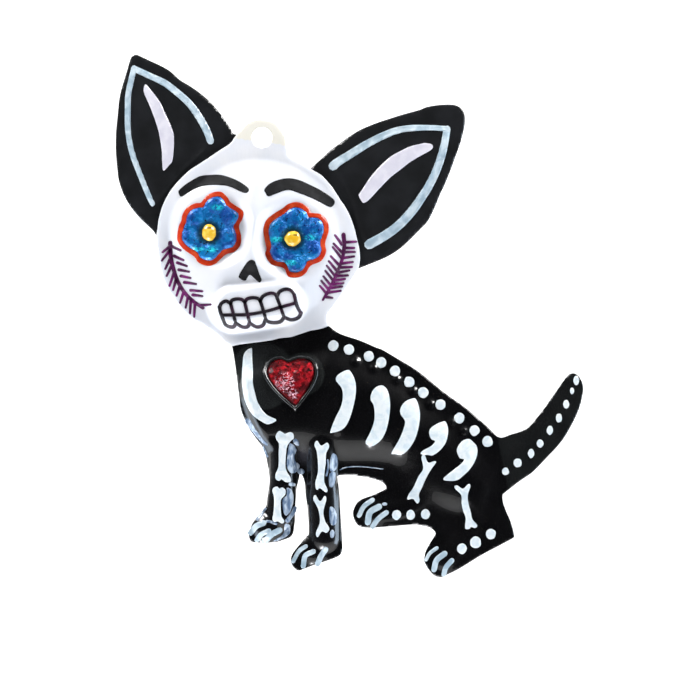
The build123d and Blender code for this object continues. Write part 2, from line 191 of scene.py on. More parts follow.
def head_height(across, up):
    """Height of the skull's front."""
    height = cap(away_from(dome_pixel, across, up), dome_radius, dome_rise)
    beside = distance_to(muzzle_line, across, up)
    muzzle = muzzle_rise * eased((muzzle_width / 2 - beside) / muzzle_slope)
    height = soft_higher(height, muzzle, muzzle_crease)
    height = height + bridge_rise * eased(1 - distance_to(bridge_line, across, up) / bridge_half_width)
    for pixel in socket_pixels:
        inside = socket_radius + socket_slope - away_from(pixel, across, up)
        height = height + (socket_rise - height) * eased(inside / (2 * socket_slope))
    return head_front + height - rolled(head_outline, across, up)


def cut_sheet(loops, cell):
    """Fill outlines with a flat sheet and score it into square cells."""
    touching, straight = cell / 1000, cell / 500
    blank = bmesh.new()
    for loop in loops:
        corners = [blank.verts.new((across, 0, up)) for across, up in loop]
        for start, end in zip(corners, corners[1:] + corners[:1]):
            blank.edges.new((start, end))
    bmesh.ops.triangle_fill(
        blank, edges=blank.edges[:], use_beauty=True, use_dissolve=False, normal=(0, -1, 0),
    )
    for axis, along in ((0, Vector((1, 0, 0))), (2, Vector((0, 0, 1)))):
        low = min(corner.co[axis] for corner in blank.verts)
        high = max(corner.co[axis] for corner in blank.verts)
        uncut = blank.faces[:]
        for step in range(math.floor(low / cell) + 1, math.ceil(high / cell)):
            level = step * cell
            edges = {edge for face in uncut for edge in face.edges}
            corners = {corner for face in uncut for corner in face.verts}
            cut = bmesh.ops.bisect_plane(
                blank, geom=[*uncut, *edges, *corners], dist=touching, plane_co=along * level,
                plane_no=along,
            )
            uncut = [
                face for face in cut["geom"]
                if isinstance(face, bmesh.types.BMFace) and face.calc_center_median()[axis] > level
            ]
    slanted = []
    for edge in blank.edges:
        start, end = edge.verts[0].co, edge.verts[1].co
        if len(edge.link_faces) == 2 and min(abs(start.x - end.x), abs(start.z - end.z)) > straight:
            slanted.append(edge)
    bmesh.ops.dissolve_edges(blank, edges=slanted, use_verts=False, use_face_split=False)
    spare = [corner for corner in blank.verts if len(corner.link_edges) == 2 and not corner.is_boundary]
    bmesh.ops.dissolve_verts(blank, verts=spare, use_face_split=False, use_boundary_tear=False)
    front = [face for face in blank.faces if face.normal.y > 0]
    bmesh.ops.reverse_faces(blank, faces=front)
    return blank


def press(blank, height):
    """Press a flat blank to the heights of a relief."""
    corners = blank.verts[:]
    places = np.array([corner.co for corner in corners])
    for corner, raised in zip(corners, height(places[:, 0], places[:, 2])):
        corner.co.y = -raised
    blank.normal_update()


def piece_from(name, made, finishes, thickness=0.0):
    """Make the object of a mesh, give it its finishes and sheet thickness, and let it ride."""
    mesh = bpy.data.meshes.new(name)
    for face in made.faces:
        face.smooth = True
    made.to_mesh(mesh)
    made.free()
    piece = bpy.data.objects.new(name, mesh)
    bpy.context.scene.collection.objects.link(piece)
    for finish in finishes:
        mesh.materials.append(finish.material)
    if thickness:
        wall = piece.modifiers.new("wall", "SOLIDIFY")
        wall.thickness = thickness
        wall.offset = -1
        wall.material_offset = len(finishes) - 1
        wall.material_offset_rim = len(finishes) - 1
    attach(piece, "root")
    return piece


def pressed_piece(name, loops, cell, height, finishes, thickness):
    """Cut a sheet along its outlines, press it and make its object."""
    blank = cut_sheet(loops, cell)
    press(blank, height)
    return piece_from(name, blank, finishes, thickness)


class Signal:
    """A shader socket that can be used in sums."""

    def __init__(self, shading, socket):
        self.shading, self.socket = shading, socket

    def _math(self, operation, first, second):
        return self.shading.add("ShaderNodeMath", {"operation": operation}, {0: first, 1: second})

    def __add__(self, other):
        return self._math("ADD", self, other)

    def __mul__(self, other):
        return self._math("MULTIPLY", self, other)

    def __sub__(self, other):
        return self._math("SUBTRACT", self, other)

    def __rsub__(self, other):
        return self._math("SUBTRACT", other, self)

    __radd__ = __add__
    __rmul__ = __mul__

    def within(self, low, high):
        """0 below low and 1 above high, with a soft step between."""
        settings = {"interpolation_type": "SMOOTHSTEP"}
        limits = {"Value": self, "From Min": low, "From Max": high}
        return self.shading.add("ShaderNodeMapRange", settings, limits)


class Shading:
    """Shader nodes that feed one shader."""

    def __init__(self, tree, shader):
        self.tree, self.shader = tree, tree.nodes[shader]

    def add(self, kind, settings=None, inputs=None, output=0):
        node = self.tree.nodes.new(kind)
        for key, value in (settings or {}).items():
            setattr(node, key, value)
        for key, value in (inputs or {}).items():
            self._feed(value, node.inputs[key])
        return Signal(self, node.outputs[output])

    def _feed(self, value, socket):
        if isinstance(value, Signal):
            self.tree.links.new(value.socket, socket)
        else:
            socket.default_value = value

    def set(self, socket, value):
        self._feed(value, self.shader.inputs[socket])


def paint_colour(red, green, blue):
    """Colour of the shader for a colour read in screen values."""
    def linear(value):
        value /= 255
        return value / 12.92 if value <= 0.04045 else ((value + 0.055) / 1.055) ** 2.4
    return (linear(red), linear(green), linear(blue), 1)


class Finish(Shading):
    """A surface finish; its colours are given in screen values."""

    def __init__(self, name, **constants):
        self.material = bpy.data.materials.new(name)
        self.material.use_nodes = True
        super().__init__(self.material.node_tree, "Principled BSDF")
        for socket, value in constants.items():
            self.set(socket.replace("_", " "), value)

    def where(self, stretch=(1, 1, 1)):
        """Place on the object, stretched."""
        at = self.add("ShaderNodeTexCoord", output="Object")
        return self.add("ShaderNodeVectorMath", {"operation": "MULTIPLY"}, {0: at, 1: stretch})

    def along(self, axis):
        """Distance of a place along X, Y or Z."""
        return self.add("ShaderNodeSeparateXYZ", None, {0: self.where()}, output="XYZ".index(axis))

    def near(self, pixel, full, none, stretch=(1, 0, 1)):
        """1 within a radius round a pixel's place and 0 outside a wider one."""
        centre = place(pixel)
        ends = {0: self.where(stretch), 1: (centre[0] * stretch[0], 0, centre[1] * stretch[2])}
        away = self.add("ShaderNodeVectorMath", {"operation": "DISTANCE"}, ends, output=1)
        return 1 - away.within(full, none)

    def noise(self, size, detail=3.0, roughness=0.5, where=None, distortion=0.0):
        """Cloudy pattern with patches of about a size."""
        values = {
            "Vector": where or self.where(), "Scale": 1 / size, "Detail": detail, "Roughness": roughness,
            "Distortion": distortion,
        }
        return self.add("ShaderNodeTexNoise", None, values)

    def mix(self, share, first, second):
        """Blend of two colours."""
        ends = [paint_colour(*end) if isinstance(end, tuple) else end for end in (first, second)]
        return self.add("ShaderNodeMix", {"data_type": "RGBA"}, {0: share, 6: ends[0], 7: ends[1]}, output=2)

    def clouded(self, size, low, high, first, second, **look):
        """Two colours in cloudy patches."""
        return self.mix(self.noise(size, **look).within(low, high), first, second)

    def bump(self, height, depth):
        """Small relief of the surface."""
        inputs = {"Strength": 1.0, "Distance": depth, "Height": height}
        self.set("Normal", self.add("ShaderNodeBump", None, inputs))

    def grain(self, size, depth, **look):
        """Small cloudy relief of the surface."""
        self.bump(self.noise(size, **look), depth)

    def paint(self, *patches, grain, **look):
        """Two colours in cloudy patches, with a fine grain."""
        self.set("Base Color", self.clouded(*patches, **look))
        self.grain(*grain)


white_enamel = Finish("white_enamel", Roughness=0.3, Coat_Weight=0.35, Coat_Roughness=0.08)
brushed_cloud = white_enamel.noise(9 * mm, detail=4)
white_mixed = white_enamel.mix(brushed_cloud.within(0.35, 0.7), (236, 240, 249), (246, 247, 252))
paint_start, paint_end = place(paint_top_pixels[0]), place(paint_top_pixels[1])
slope = float((paint_end[1] - paint_start[1]) / (paint_end[0] - paint_start[0]))
paint_base = float(paint_start[1] - slope * paint_start[0])
above_paint = white_enamel.along("Z") - white_enamel.along("X") * slope - paint_base
ragged = white_enamel.noise(ragged_size, detail=2) * ragged_depth - ragged_depth / 2
bare_top = (above_paint + ragged).within(-paint_blend, paint_blend)
white_enamel.set("Base Color", white_enamel.mix(bare_top, white_mixed, (246, 243, 232)))
brush_marks = white_enamel.noise(0.7 * mm, detail=3, where=white_enamel.where((1, 1, 0.2)))
white_enamel.bump(brush_marks + brushed_cloud * 3.0, 0.03 * mm)

bare_tin = Finish("bare_tin", Metallic=1.0, Coat_Weight=0.2)
tin_cloud = bare_tin.noise(6 * mm, detail=6, roughness=0.6)
bare_tin.set("Base Color", bare_tin.mix(tin_cloud, (150, 148, 142), (205, 204, 200)))
bare_tin.set("Roughness", tin_cloud * 0.3 + 0.22)
bare_tin.grain(0.8 * mm, 0.02 * mm, detail=4)

hole_turns = [2 * math.pi * side / hole_sides for side in range(hole_sides)]
hole_loop = [hole_radius * np.array([math.cos(turn), math.sin(turn)]) for turn in hole_turns]
head = pressed_piece(
    "head_sheet", [head_outline, hole_loop], head_cell, head_height, [white_enamel, bare_tin], sheet,
)
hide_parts("head_plate")


# Head painting. Brows and nose are black enamel, the teeth a fine dark liner, the cheek sprigs purple. All
# are brushed on and stand a little proud of the white enamel under them.
paint_lift = 0.07 * mm
liner_lift = 0.1 * mm
lift_levels, lift_parts = 4, 12
tooth_arc_widths, tooth_line_widths = (3.8, 3.4), (3.5, 3.2)
left_spine_widths, right_spine_widths, barb_widths = (4.4, 3.4), (4.2, 2.2), (3.1, 2.2)
left_brow_pixels = [
    (179.7, 189.7), (185, 185), (190, 181.7), (200, 176.3), (210, 175), (220, 175), (230, 177.7),
    (240, 182.3), (248.3, 188.3), (249, 191.7), (246.3, 193.7), (240, 191.7), (230, 187), (220, 185.4),
    (210, 185.4), (200, 187), (190, 191.7), (181.3, 196.7), (178.6, 192.3),
]
right_brow_pixels = [
    (265, 190), (270, 184.3), (279, 180.2), (289.6, 178.6), (300.2, 180.6), (310, 185), (319.8, 189.8),
    (330, 196.4), (334.8, 201.8), (331.8, 207), (327, 206), (319.8, 202.2), (310, 197.6), (300, 193.8),
    (288.7, 190.5), (278.9, 193.4), (269, 197), (265.9, 193.3),
]
nose_pixels = [
    (251, 260.7), (246.8, 264.2), (239.8, 275.4), (240.5, 278.9), (246.1, 281), (250.3, 275.4),
    (256.6, 280.3), (260.1, 282.8), (262.2, 280.3), (260.1, 274.7), (257.3, 266.3), (255.2, 261.4),
]
tooth_arcs = [
    [(220.4, 308), (222.5, 303.5), (227.2, 301.4), (231.4, 303.8)],
    [(231.4, 304), (233, 300.6), (237.5, 299.3), (242.5, 299.8), (245.6, 302.5)],
    [(245.6, 302.3), (248, 299.3), (253.1, 298.1), (258.5, 298.8), (261, 301)],
    [(260.8, 301.2), (264, 296.2), (270, 293.8), (275, 294.2), (277.6, 297)],
    [(277.4, 297), (280.5, 291.7), (286.8, 289.6), (292, 291.2), (294.5, 295)],
    [(294.5, 294.6), (297.3, 305.6), (301, 313.4)],
    [(301.3, 312.8), (298.7, 317.6), (291.7, 320), (284.9, 317.8)],
    [(284.7, 317.4), (281, 321.6), (274.9, 322.9), (269, 322), (266, 319.6)],
    [(266.3, 319.4), (263, 325.5), (256.6, 327), (250.2, 323.2)],
    [(250.2, 323), (248, 326.8), (243, 327.2), (236.8, 323.6)],
    [(236.8, 323.4), (234, 327), (229.5, 326.8), (225.6, 324.6)],
    [(220.3, 307), (221.3, 312), (223.2, 318), (225.8, 325)],
]
tooth_lines = [
    [(223, 315.4), (235, 315), (248.2, 314.7), (265, 311.9), (280.5, 307.6), (297, 303)],
    [(231.4, 303.5), (234.2, 314), (236.6, 324)], [(245.4, 302.1), (248.2, 314), (250.4, 323.2)],
    [(260.8, 300.7), (264.4, 311.9), (266.5, 320.3)], [(277, 296.4), (281.2, 307.7), (284.7, 318.2)],
]
left_spine_pixels = [
    (170.3, 243), (171, 258), (174, 270.5), (178, 281.7), (185, 293), (193.5, 301.4), (203, 308),
]
right_spine_pixels = [
    (343.6, 234.7), (344.3, 246.6), (342.2, 259.3), (338, 270.5), (332.4, 283.1), (322.9, 300),
]
barb_pixels = [
    [(171, 246), (181, 250.8)], [(174, 256), (183.7, 260.4)], [(177.4, 262.8), (187.2, 266.3)],
    [(178.8, 269.8), (189.3, 271.9)], [(181, 276.1), (190.7, 278.2)], [(184.4, 282.4), (196.3, 284.2)],
    [(190.7, 290.4), (202.6, 291.5)], [(192.8, 295), (202.6, 296.4)], [(199, 305.5), (211, 304.6)],
    [(169.6, 246.6), (162.6, 252.3)], [(169.6, 250.8), (162, 260.7)], [(170, 259.3), (165.4, 269)],
    [(171.5, 266.3), (166.8, 276)], [(174, 273.3), (169.6, 286)], [(176, 280.3), (173.2, 290)],
    [(180, 286), (176.7, 295.7)], [(184, 291.5), (180.2, 302.8)], [(188, 297), (185.8, 307.7)],
    [(191, 301), (190, 313.3)], [(195, 304.5), (194.2, 316.8)], [(345, 242.4), (356.3, 241.7)],
    [(345, 248), (354.2, 248)], [(344, 252.3), (354.9, 252)], [(343.5, 257.9), (354.2, 256.5)],
    [(342, 263.5), (352.8, 262)], [(340, 267.7), (352, 267)], [(338.5, 272.6), (349.3, 270.5)],
    [(336.5, 276), (347.9, 275.4)], [(334, 280.6), (345, 279)], [(332, 284.4), (343.6, 283.1)],
    [(330.5, 288), (342.2, 286.6)], [(328, 292.6), (340.8, 290.8)], [(326, 297), (332.4, 297.9)],
    [(342, 244.5), (335.2, 235.4)], [(342, 252.5), (333.8, 243.8)], [(342, 258.5), (333, 247.3)],
    [(340, 266), (331, 256.5)], [(338, 272), (329, 261.4)], [(336, 277), (327, 266)],
    [(334, 281.5), (325.5, 271)], [(331.5, 286), (323.5, 276.5)], [(329, 290), (321.5, 281)],
    [(327, 294), (320, 286)],
]


def brush(points, start_width, end_width=None, parts=5):
    """Outline of a brush stroke along a line, with round ends; widths in pixels."""
    line = curve_through(points, parts=parts)
    end_width = start_width if end_width is None else end_width
    sides = ([], [])
    for index, point in enumerate(line):
        run = line[min(index + 1, len(line) - 1)] - line[max(index - 1, 0)]
        across = np.array([-run[1], run[0]]) / np.hypot(*run)
        half = (start_width + (end_width - start_width) * index / (len(line) - 1)) / 2
        sides[0].append(point + half * across)
        sides[1].append(point - half * across)
    ends = []
    for tip, before, half in ((line[-1], line[-2], end_width / 2), (line[0], line[1], start_width / 2)):
        facing = math.atan2(*(tip - before)[::-1])
        for turn in (math.pi / 4, 0, -math.pi / 4):
            ends.append(tip + half * np.array([math.cos(facing + turn), math.sin(facing + turn)]))
    return sides[0] + ends[:3] + sides[1][::-1] + ends[3:]


def blob(pixels):
    """Outline of a filled painted shape."""
    return curve_through(pixels, closed=True)


def lay_paint(name, shapes, height, finish, cell, lift=paint_lift):
    """Lay painted shapes, given as pixel outlines, over a sheet pressed from cells of the same size."""
    coat = bmesh.new()
    layer = bpy.data.meshes.new(name + "_stroke")
    for turn, shape in enumerate(shapes):
        stroke = cut_sheet([[place(pixel) for pixel in shape]], cell)
        above = lift * (1 + (turn % lift_levels) / lift_parts)
        press(stroke, lambda across, up: height(across, up) + above)
        stroke.to_mesh(layer)
        stroke.free()
        coat.from_mesh(layer)
    bpy.data.meshes.remove(layer)
    return piece_from(name, coat, [finish], thickness=2 * lift)


black_paint = Finish("black_paint", Roughness=0.55, Specular_IOR_Level=0.3)
black_paint.paint(2 * mm, 0.4, 0.7, (14, 15, 18), (28, 29, 32), grain=(0.8 * mm, 0.03 * mm))
feature_shapes = [blob(pixels) for pixels in (left_brow_pixels, right_brow_pixels, nose_pixels)]
features = lay_paint("brows_and_nose", feature_shapes, head_height, black_paint, head_cell)

liner = Finish("tooth_liner", Roughness=0.4)
liner.paint(3 * mm, 0.45, 0.65, (22, 16, 26), (52, 28, 48), grain=(0.5 * mm, 0.02 * mm))
tooth_shapes = [brush(arc, *tooth_arc_widths) for arc in tooth_arcs]
tooth_shapes += [brush(line, *tooth_line_widths) for line in tooth_lines]
teeth = lay_paint("tooth_lines", tooth_shapes, head_height, liner, head_cell, liner_lift)

purple = Finish("purple_paint", Roughness=0.38)
purple.paint(2.5 * mm, 0.4, 0.65, (72, 18, 66), (122, 34, 110), grain=(0.5 * mm, 0.02 * mm))
sprig_shapes = [brush(left_spine_pixels, *left_spine_widths), brush(right_spine_pixels, *right_spine_widths)]
sprig_shapes += [brush(pair, *barb_widths, parts=3) for pair in barb_pixels]
sprigs = lay_paint("cheek_sprigs", sprig_shapes, head_height, purple, head_cell)


# Ears. Each is a flat black sheet with a raised inner panel, its root lapped and soldered behind the skull's
# rim. Light blue strokes run round the panel and a lavender leaf is painted in it.
rear_front = -sheet / 2
ear_rise, ear_slope = 0.5 * mm, 0.8 * mm
ear_cell = 0.6 * mm
ear_stroke_lift = 0.12 * mm
lap = 1.6 * mm
left_ear_pixels = [
    (156.4, 235.8), (152.3, 230), (141.7, 220), (133, 210), (126.3, 200), (121.7, 190), (118.6, 180),
    (117.3, 170), (116.3, 160), (115.7, 150), (115.7, 140), (116, 130), (117, 120), (118, 110), (119, 100),
    (121, 90), (124, 80), (127, 70), (130.3, 59), (132.6, 55.8), (136, 54.6), (140, 56), (150, 60.7),
    (160, 65.3), (170, 71), (179.7, 79.7), (190, 86), (200, 93), (210, 101.7), (220, 113), (225, 120.3),
    (230, 127.7), (233, 133.2), (236.7, 134.6),
]
right_ear_pixels = [
    (310, 168.5), (319.8, 159.8), (330, 150.4), (340, 143), (350, 135.8), (360, 129.8), (370, 125.4),
    (380, 121.6), (390, 118.4), (400, 115.2), (410, 112.4), (420, 109.6), (427.2, 106.8), (440, 104.8),
    (452.4, 104.6), (459.6, 107), (463.8, 111.8), (465, 119), (464.4, 126.8), (462, 137), (459.6, 145.4),
    (454.8, 158.6), (450, 171.8), (444, 186.2), (440, 194.6), (435.6, 205.4), (430, 217.4), (426, 223.4),
    (420, 229.4), (410, 239.6), (400, 248.6), (390, 255.2), (380, 260), (370, 264), (358.4, 268.6),
]
left_panel_pixels = [
    (136, 70), (165, 83), (190, 104), (207, 131), (211, 143), (188, 166), (163, 196), (152.5, 206),
    (144, 185), (132.5, 155), (127.5, 125), (128, 95),
]
right_panel_pixels = [
    (448, 129), (410, 128), (380, 137), (350, 154.4), (333, 166), (350, 198), (366, 244), (395, 228.5),
    (424, 194), (435.6, 172.5), (444, 146.6),
]
left_ear_strokes = [
    (
        [(135, 69), (150, 76), (165, 83), (178, 93), (190, 104), (200, 118), (207, 131), (210.5, 141)],
        6.0, 7.0,
    ),
    (
        [
            (134, 68), (131, 80), (128, 95), (127.5, 110), (127.5, 125), (129, 140), (132.5, 155),
            (138, 170), (144, 185), (149, 197), (152.5, 204),
        ],
        5.6, 4.8,
    ),
]
right_ear_strokes = [
    (
        [
            (447, 128.5), (430, 127.6), (410, 128), (395, 130.8), (380, 137), (365, 145), (350, 154.4),
            (338, 162), (333, 166),
        ],
        4.8, 9.0,
    ),
    (
        [
            (447, 129), (444, 146.6), (440.4, 160), (435.6, 172.5), (430, 184), (424, 194), (415, 207.5),
            (405, 219.3), (395, 228.5), (385, 235.5), (375, 241.3), (369, 244.5),
        ],
        7.0, 9.6,
    ),
]
left_leaf_pixels = [
    (145.4, 84.6), (150, 89), (160, 102.3), (165, 113), (170, 123.7), (173.3, 133), (174, 140),
    (173.7, 150.3), (172.3, 161), (170, 164.3), (163.7, 170.7), (162.3, 162.3), (162, 151.7), (160.3, 140),
    (158.3, 130), (155, 119.7), (150, 106.3), (144, 92.3),
]
right_leaf_pixels = [
    (432, 144.8), (425.4, 143.2), (420, 144.2), (410, 146.6), (400, 151.4), (390, 157.2), (380, 166.4),
    (375, 171.8), (370, 177.8), (364.8, 185.6), (360, 192.8), (358.8, 195.8), (362.4, 202.4),
    (365.4, 202.4), (370, 198.8), (375, 193.4), (380, 188), (390, 177.8), (400, 170), (410, 162.2),
    (420, 156.2), (431.4, 149.6),
]


def lapped(pixels):
    """Outline pixels of a root line, run behind the skull by the lap."""
    hidden = [pixels[0]]
    for before, point, after in zip(pixels, pixels[1:], pixels[2:]):
        run = (after[0] - before[0], after[1] - before[1])
        shift = lap / pixel_size / math.hypot(*run)
        hidden.append((point[0] - shift * run[1], point[1] + shift * run[0]))
    return hidden + [pixels[-1]]


black_enamel = Finish("black_enamel", Roughness=0.3, Coat_Weight=0.8, Coat_Roughness=0.05)
# Painted reflection: the ears' black is lifted to a dark grey that stands in for the even sheen of their flat
# gloss. The light specks are wear.
ear_reflection_tint = black_enamel.clouded(5 * mm, 0.3, 0.7, (24, 25, 27), (34, 35, 38), detail=4)
worn_specks = black_enamel.noise(0.35 * mm, detail=2).within(0.76, 0.8)
black_enamel.set("Base Color", black_enamel.mix(worn_specks * 0.5, ear_reflection_tint, (88, 84, 78)))
orange_peel = black_enamel.noise(2.2 * mm, detail=2) + black_enamel.noise(0.5 * mm) * 0.15
black_enamel.bump(orange_peel, 0.04 * mm)

pale_blue = Finish("pale_blue_paint", Roughness=0.3, Coat_Weight=0.4, Coat_Roughness=0.1)
pale_blue.paint(
    2.6 * mm, 0.3, 0.75, (164, 188, 204), (220, 234, 243), grain=(0.8 * mm, 0.015 * mm), distortion=0.6,
)
lavender = Finish("lavender_paint", Roughness=0.3, Coat_Weight=0.4, Coat_Roughness=0.1)
lavender.paint(3 * mm, 0.35, 0.7, (222, 220, 234), (238, 236, 246), grain=(0.6 * mm, 0.03 * mm))

for name, edge_pixels, root_pixels, panel_pixels, strokes, leaf_pixels in [
    ("left_ear", left_ear_pixels, left_root_pixels, left_panel_pixels, left_ear_strokes, left_leaf_pixels),
    (
        "right_ear", right_ear_pixels, right_root_pixels, right_panel_pixels, right_ear_strokes,
        right_leaf_pixels,
    ),
]:
    ear_outline = line_of(edge_pixels)[:-1] + line_of(lapped(root_pixels))[:0:-1]
    panel = line_of(panel_pixels, closed=True)

    def ear_height(across, up):
        """Height of the ear's front."""
        raised = ear_rise * eased(depth_inside(panel, across, up) / ear_slope)
        return rear_front + raised - rolled(ear_outline, across, up)

    ear_finishes = [black_enamel, bare_tin]
    ear = pressed_piece(name + "_sheet", [ear_outline], ear_cell, ear_height, ear_finishes, sheet)
    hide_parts(name)
    shapes = [brush(points, start, end) for points, start, end in strokes]
    strokes_piece = lay_paint(name + "_strokes", shapes, ear_height, pale_blue, ear_cell, ear_stroke_lift)
    leaf = lay_paint(name + "_leaf", [blob(leaf_pixels)], ear_height, lavender, ear_cell)


# Body plate. One black sheet with a neck tongue behind the chin, a pressed trunk with ribs and backbone
# bumps, legs and paws with low ridges, and a flat tail. Bones, ribs and dots are white brush strokes, toes
# light blue ones. Pale blue-grey patches on the front legs, the chest and the belly are painted reflections,
# and the black enamel carries painted grey reflections and a painted glow.
body_cell = 0.45 * mm
trunk_rise, chest_slope, trunk_slope, neck_slope = 2.8 * mm, 2.2 * mm, 10.5 * mm, 9 * mm
breast_share, breast_slope, breast_reach, breast_fade = 0.75, 5.5 * mm, 9 * mm, 0.3
rear_fall_share, rear_fall_pixels = 0.5, (392, 486)
swell_share, swell_pixels = 0.3, (512, 452)
leg_crease, paw_crease = 0.6 * mm, 0.3 * mm
haunch_pixel, haunch_radius, haunch_slope, haunch_rise = (466, 480), 9 * mm, 7 * mm, 0.6 * mm
rib_half_width, rib_rise = 2.1 * mm, 0.3 * mm
vertebra_radius, vertebra_rise = 1.5 * mm, 0.6 * mm
heart_dish_pixel, heart_dish_radius, heart_dish_depth = (292, 378), 7.6 * mm, 0.7 * mm
# Where the painted light lies: the tail's grey edge, two grey reflection patches by the heart and a painted
# glow on the chest.
tail_pixel, tail_lean, tail_blend = (498, 440), 0.2, 0.2 * mm
reflection_spots = [((262, 376), 7.2 * mm, 8.2 * mm), ((303, 374), 4.6 * mm, 5.2 * mm)]
glow_pixel, glow_reach, glow_stretch = (303.5, 455), 2.6 * mm, (1.2, 0, 0.8)
body_stretches = [
    [
        (232, 346.3), (234, 357.4), (235.8, 369.9), (237.5, 383.5), (239.2, 397.1), (240.9, 409.5),
        (244.3, 418.6), (249.4, 428.8), (255.6, 437.9), (262.4, 446.9), (265.8, 456), (268, 467.3),
        (269.7, 479.7), (268.3, 490.4), (267, 500), (265.9, 506.4), (262.9, 510.7), (257.4, 517.1),
        (252.6, 522.9), (249.9, 529.9), (248.7, 533.1), (249.4, 538.4), (252.6, 542.1), (262.7, 542.7),
        (275.5, 542.1), (283, 540), (289.9, 537.3), (293.1, 533.1), (294.2, 526.7), (295.1, 519.2),
        (295.1, 510.7), (295.8, 500), (296.5, 489.3), (297.9, 482.9), (299.2, 477.6), (300, 473.5),
        (302.7, 476.5), (304.9, 484), (305.6, 494.7), (307, 504.3), (308.1, 516), (308.8, 526.7),
        (308.6, 534.1), (306.5, 536.3), (301.1, 542.7), (295.8, 549.1), (292.1, 554.4), (290.8, 559.7),
        (292.1, 565.1), (295.8, 569.3), (299, 570.6), (304.3, 568.8), (313.9, 565.1), (323.5, 561.9),
        (334.2, 558.1), (340.1, 554.9), (342.2, 549.6), (342.2, 542.7), (341.7, 532), (340.6, 516),
        (339.9, 500), (339, 489.3), (337.9, 479.7), (337.4, 476.5),
    ],
    [
        (337.4, 476.5), (340.1, 475.3), (350, 474.9), (357, 475.8), (369, 477.8), (379.8, 481),
        (383.4, 483), (385.8, 486), (386.4, 488.4),
    ],
    [
        (386.4, 488.4), (381, 491.4), (371.4, 495.6), (361.8, 499.2), (357, 502.8), (353.4, 510),
        (353.2, 516), (355.8, 522.6), (360.6, 526.8), (369, 527.8), (381, 527.2), (400.2, 525.6),
        (414.6, 524.6), (421.8, 525.6), (429, 527.4), (434.4, 531), (435.6, 534),
    ],
    [
        (435.6, 534), (433.8, 537), (429, 544.8), (425.4, 552), (424.2, 559.2), (424.8, 562.8), (429, 570),
        (435, 576), (441, 577.4), (447, 574.8), (460.2, 568.2), (480.6, 555.6), (499.8, 545.4),
        (513, 538.2), (514.4, 535.8),
    ],
    [(514.4, 535.8), (513, 529.2), (510, 519.6), (505.8, 510), (502.8, 500.4), (502.8, 494.4)],
    [
        (502.8, 494.4), (518, 482.4), (529.9, 474.3), (535, 469.9), (542.3, 462.5), (549.7, 454.5),
        (554.1, 450.1), (559.2, 444.2), (564.3, 437.6), (569.5, 428.8), (574.6, 419.3), (579, 409),
        (581.2, 401.7), (582.7, 394.3), (583.3, 388.5), (582.3, 382.6), (579.7, 377.5), (576.8, 374.2),
        (573.1, 373.3), (569.5, 374.2), (565.8, 377.5), (562.1, 382.6), (557, 389.9), (550, 399.8),
        (545.3, 406.8), (540.1, 413.4), (535, 420), (529.9, 425.9), (526.9, 428.4), (520, 431.7),
        (510.1, 434.7), (505.7, 436.5), (501.3, 437.5), (497.6, 436.5), (495, 434.5), (490, 429),
        (480, 420), (470, 411), (460, 403.5), (450, 396.5), (440, 389), (430, 380.5), (420, 372.5),
        (411, 366.5), (400, 360), (383, 350), (375.7, 347.2), (359.9, 340.4), (340, 333.6), (329, 326),
    ],
]
chest_line_pixels = [(240, 340), (237, 372), (240.5, 401), (250, 427), (264, 450), (272, 468)]
trunk_line_pixels = [
    (272, 468), (300, 466), (336, 474), (384, 476), (397, 492), (412, 510), (440, 526), (474, 534),
    (500, 524), (505, 482), (497, 446), (476, 420), (444, 395), (409, 369), (372, 349), (335, 330),
    (290, 337), (240, 340),
]
leg_ridges = [
    ([(282, 446), (282, 482), (279, 518)], 3.4, 2.0), ([(322, 446), (323, 495), (324, 538)], 3.7, 2.1),
    ([(430, 490), (405, 508), (376, 514)], 2.9, 0.8), ([(478, 490), (468, 530), (448, 556)], 3.2, 0.8),
]
paw_domes = [((268, 528), 3.7, 2.0), ((314, 550), 3.9, 1.2), ((372, 512), 3.4, 1.0), ((444, 558), 3.6, 1.0)]
rib_ridges = [
    [(347, 379), (350, 404), (338, 428)], [(381, 393), (383, 418), (372, 441)],
    [(412, 406), (412, 428), (399, 449)], [(441, 430), (441, 443), (428, 452)],
    [(469, 448), (468, 465), (450, 477)],
]
vertebra_pixels = [(356, 361), (374, 367.5), (397, 379), (413.5, 390.5), (431, 404), (452, 422), (464, 431)]
body_outline = outline_of(body_stretches) + line_of(lapped(chin_pixels))[:-1]
chest_line = line_of(chest_line_pixels)
trunk_line = line_of(trunk_line_pixels)
chin_line = line_of(chin_pixels)
leg_lines = [(line_of(pixels), width * mm, rise * mm) for pixels, width, rise in leg_ridges]
rib_lines = [line_of(pixels) for pixels in rib_ridges]
tail_edge = place(tail_pixel)[0] + place(tail_pixel)[1] * tail_lean


def ramp(share):
    """Straight slope from 0 to 1 with short soft ends."""
    return (np.clip(share, 0, 1) * 3 + eased(share)) / 4


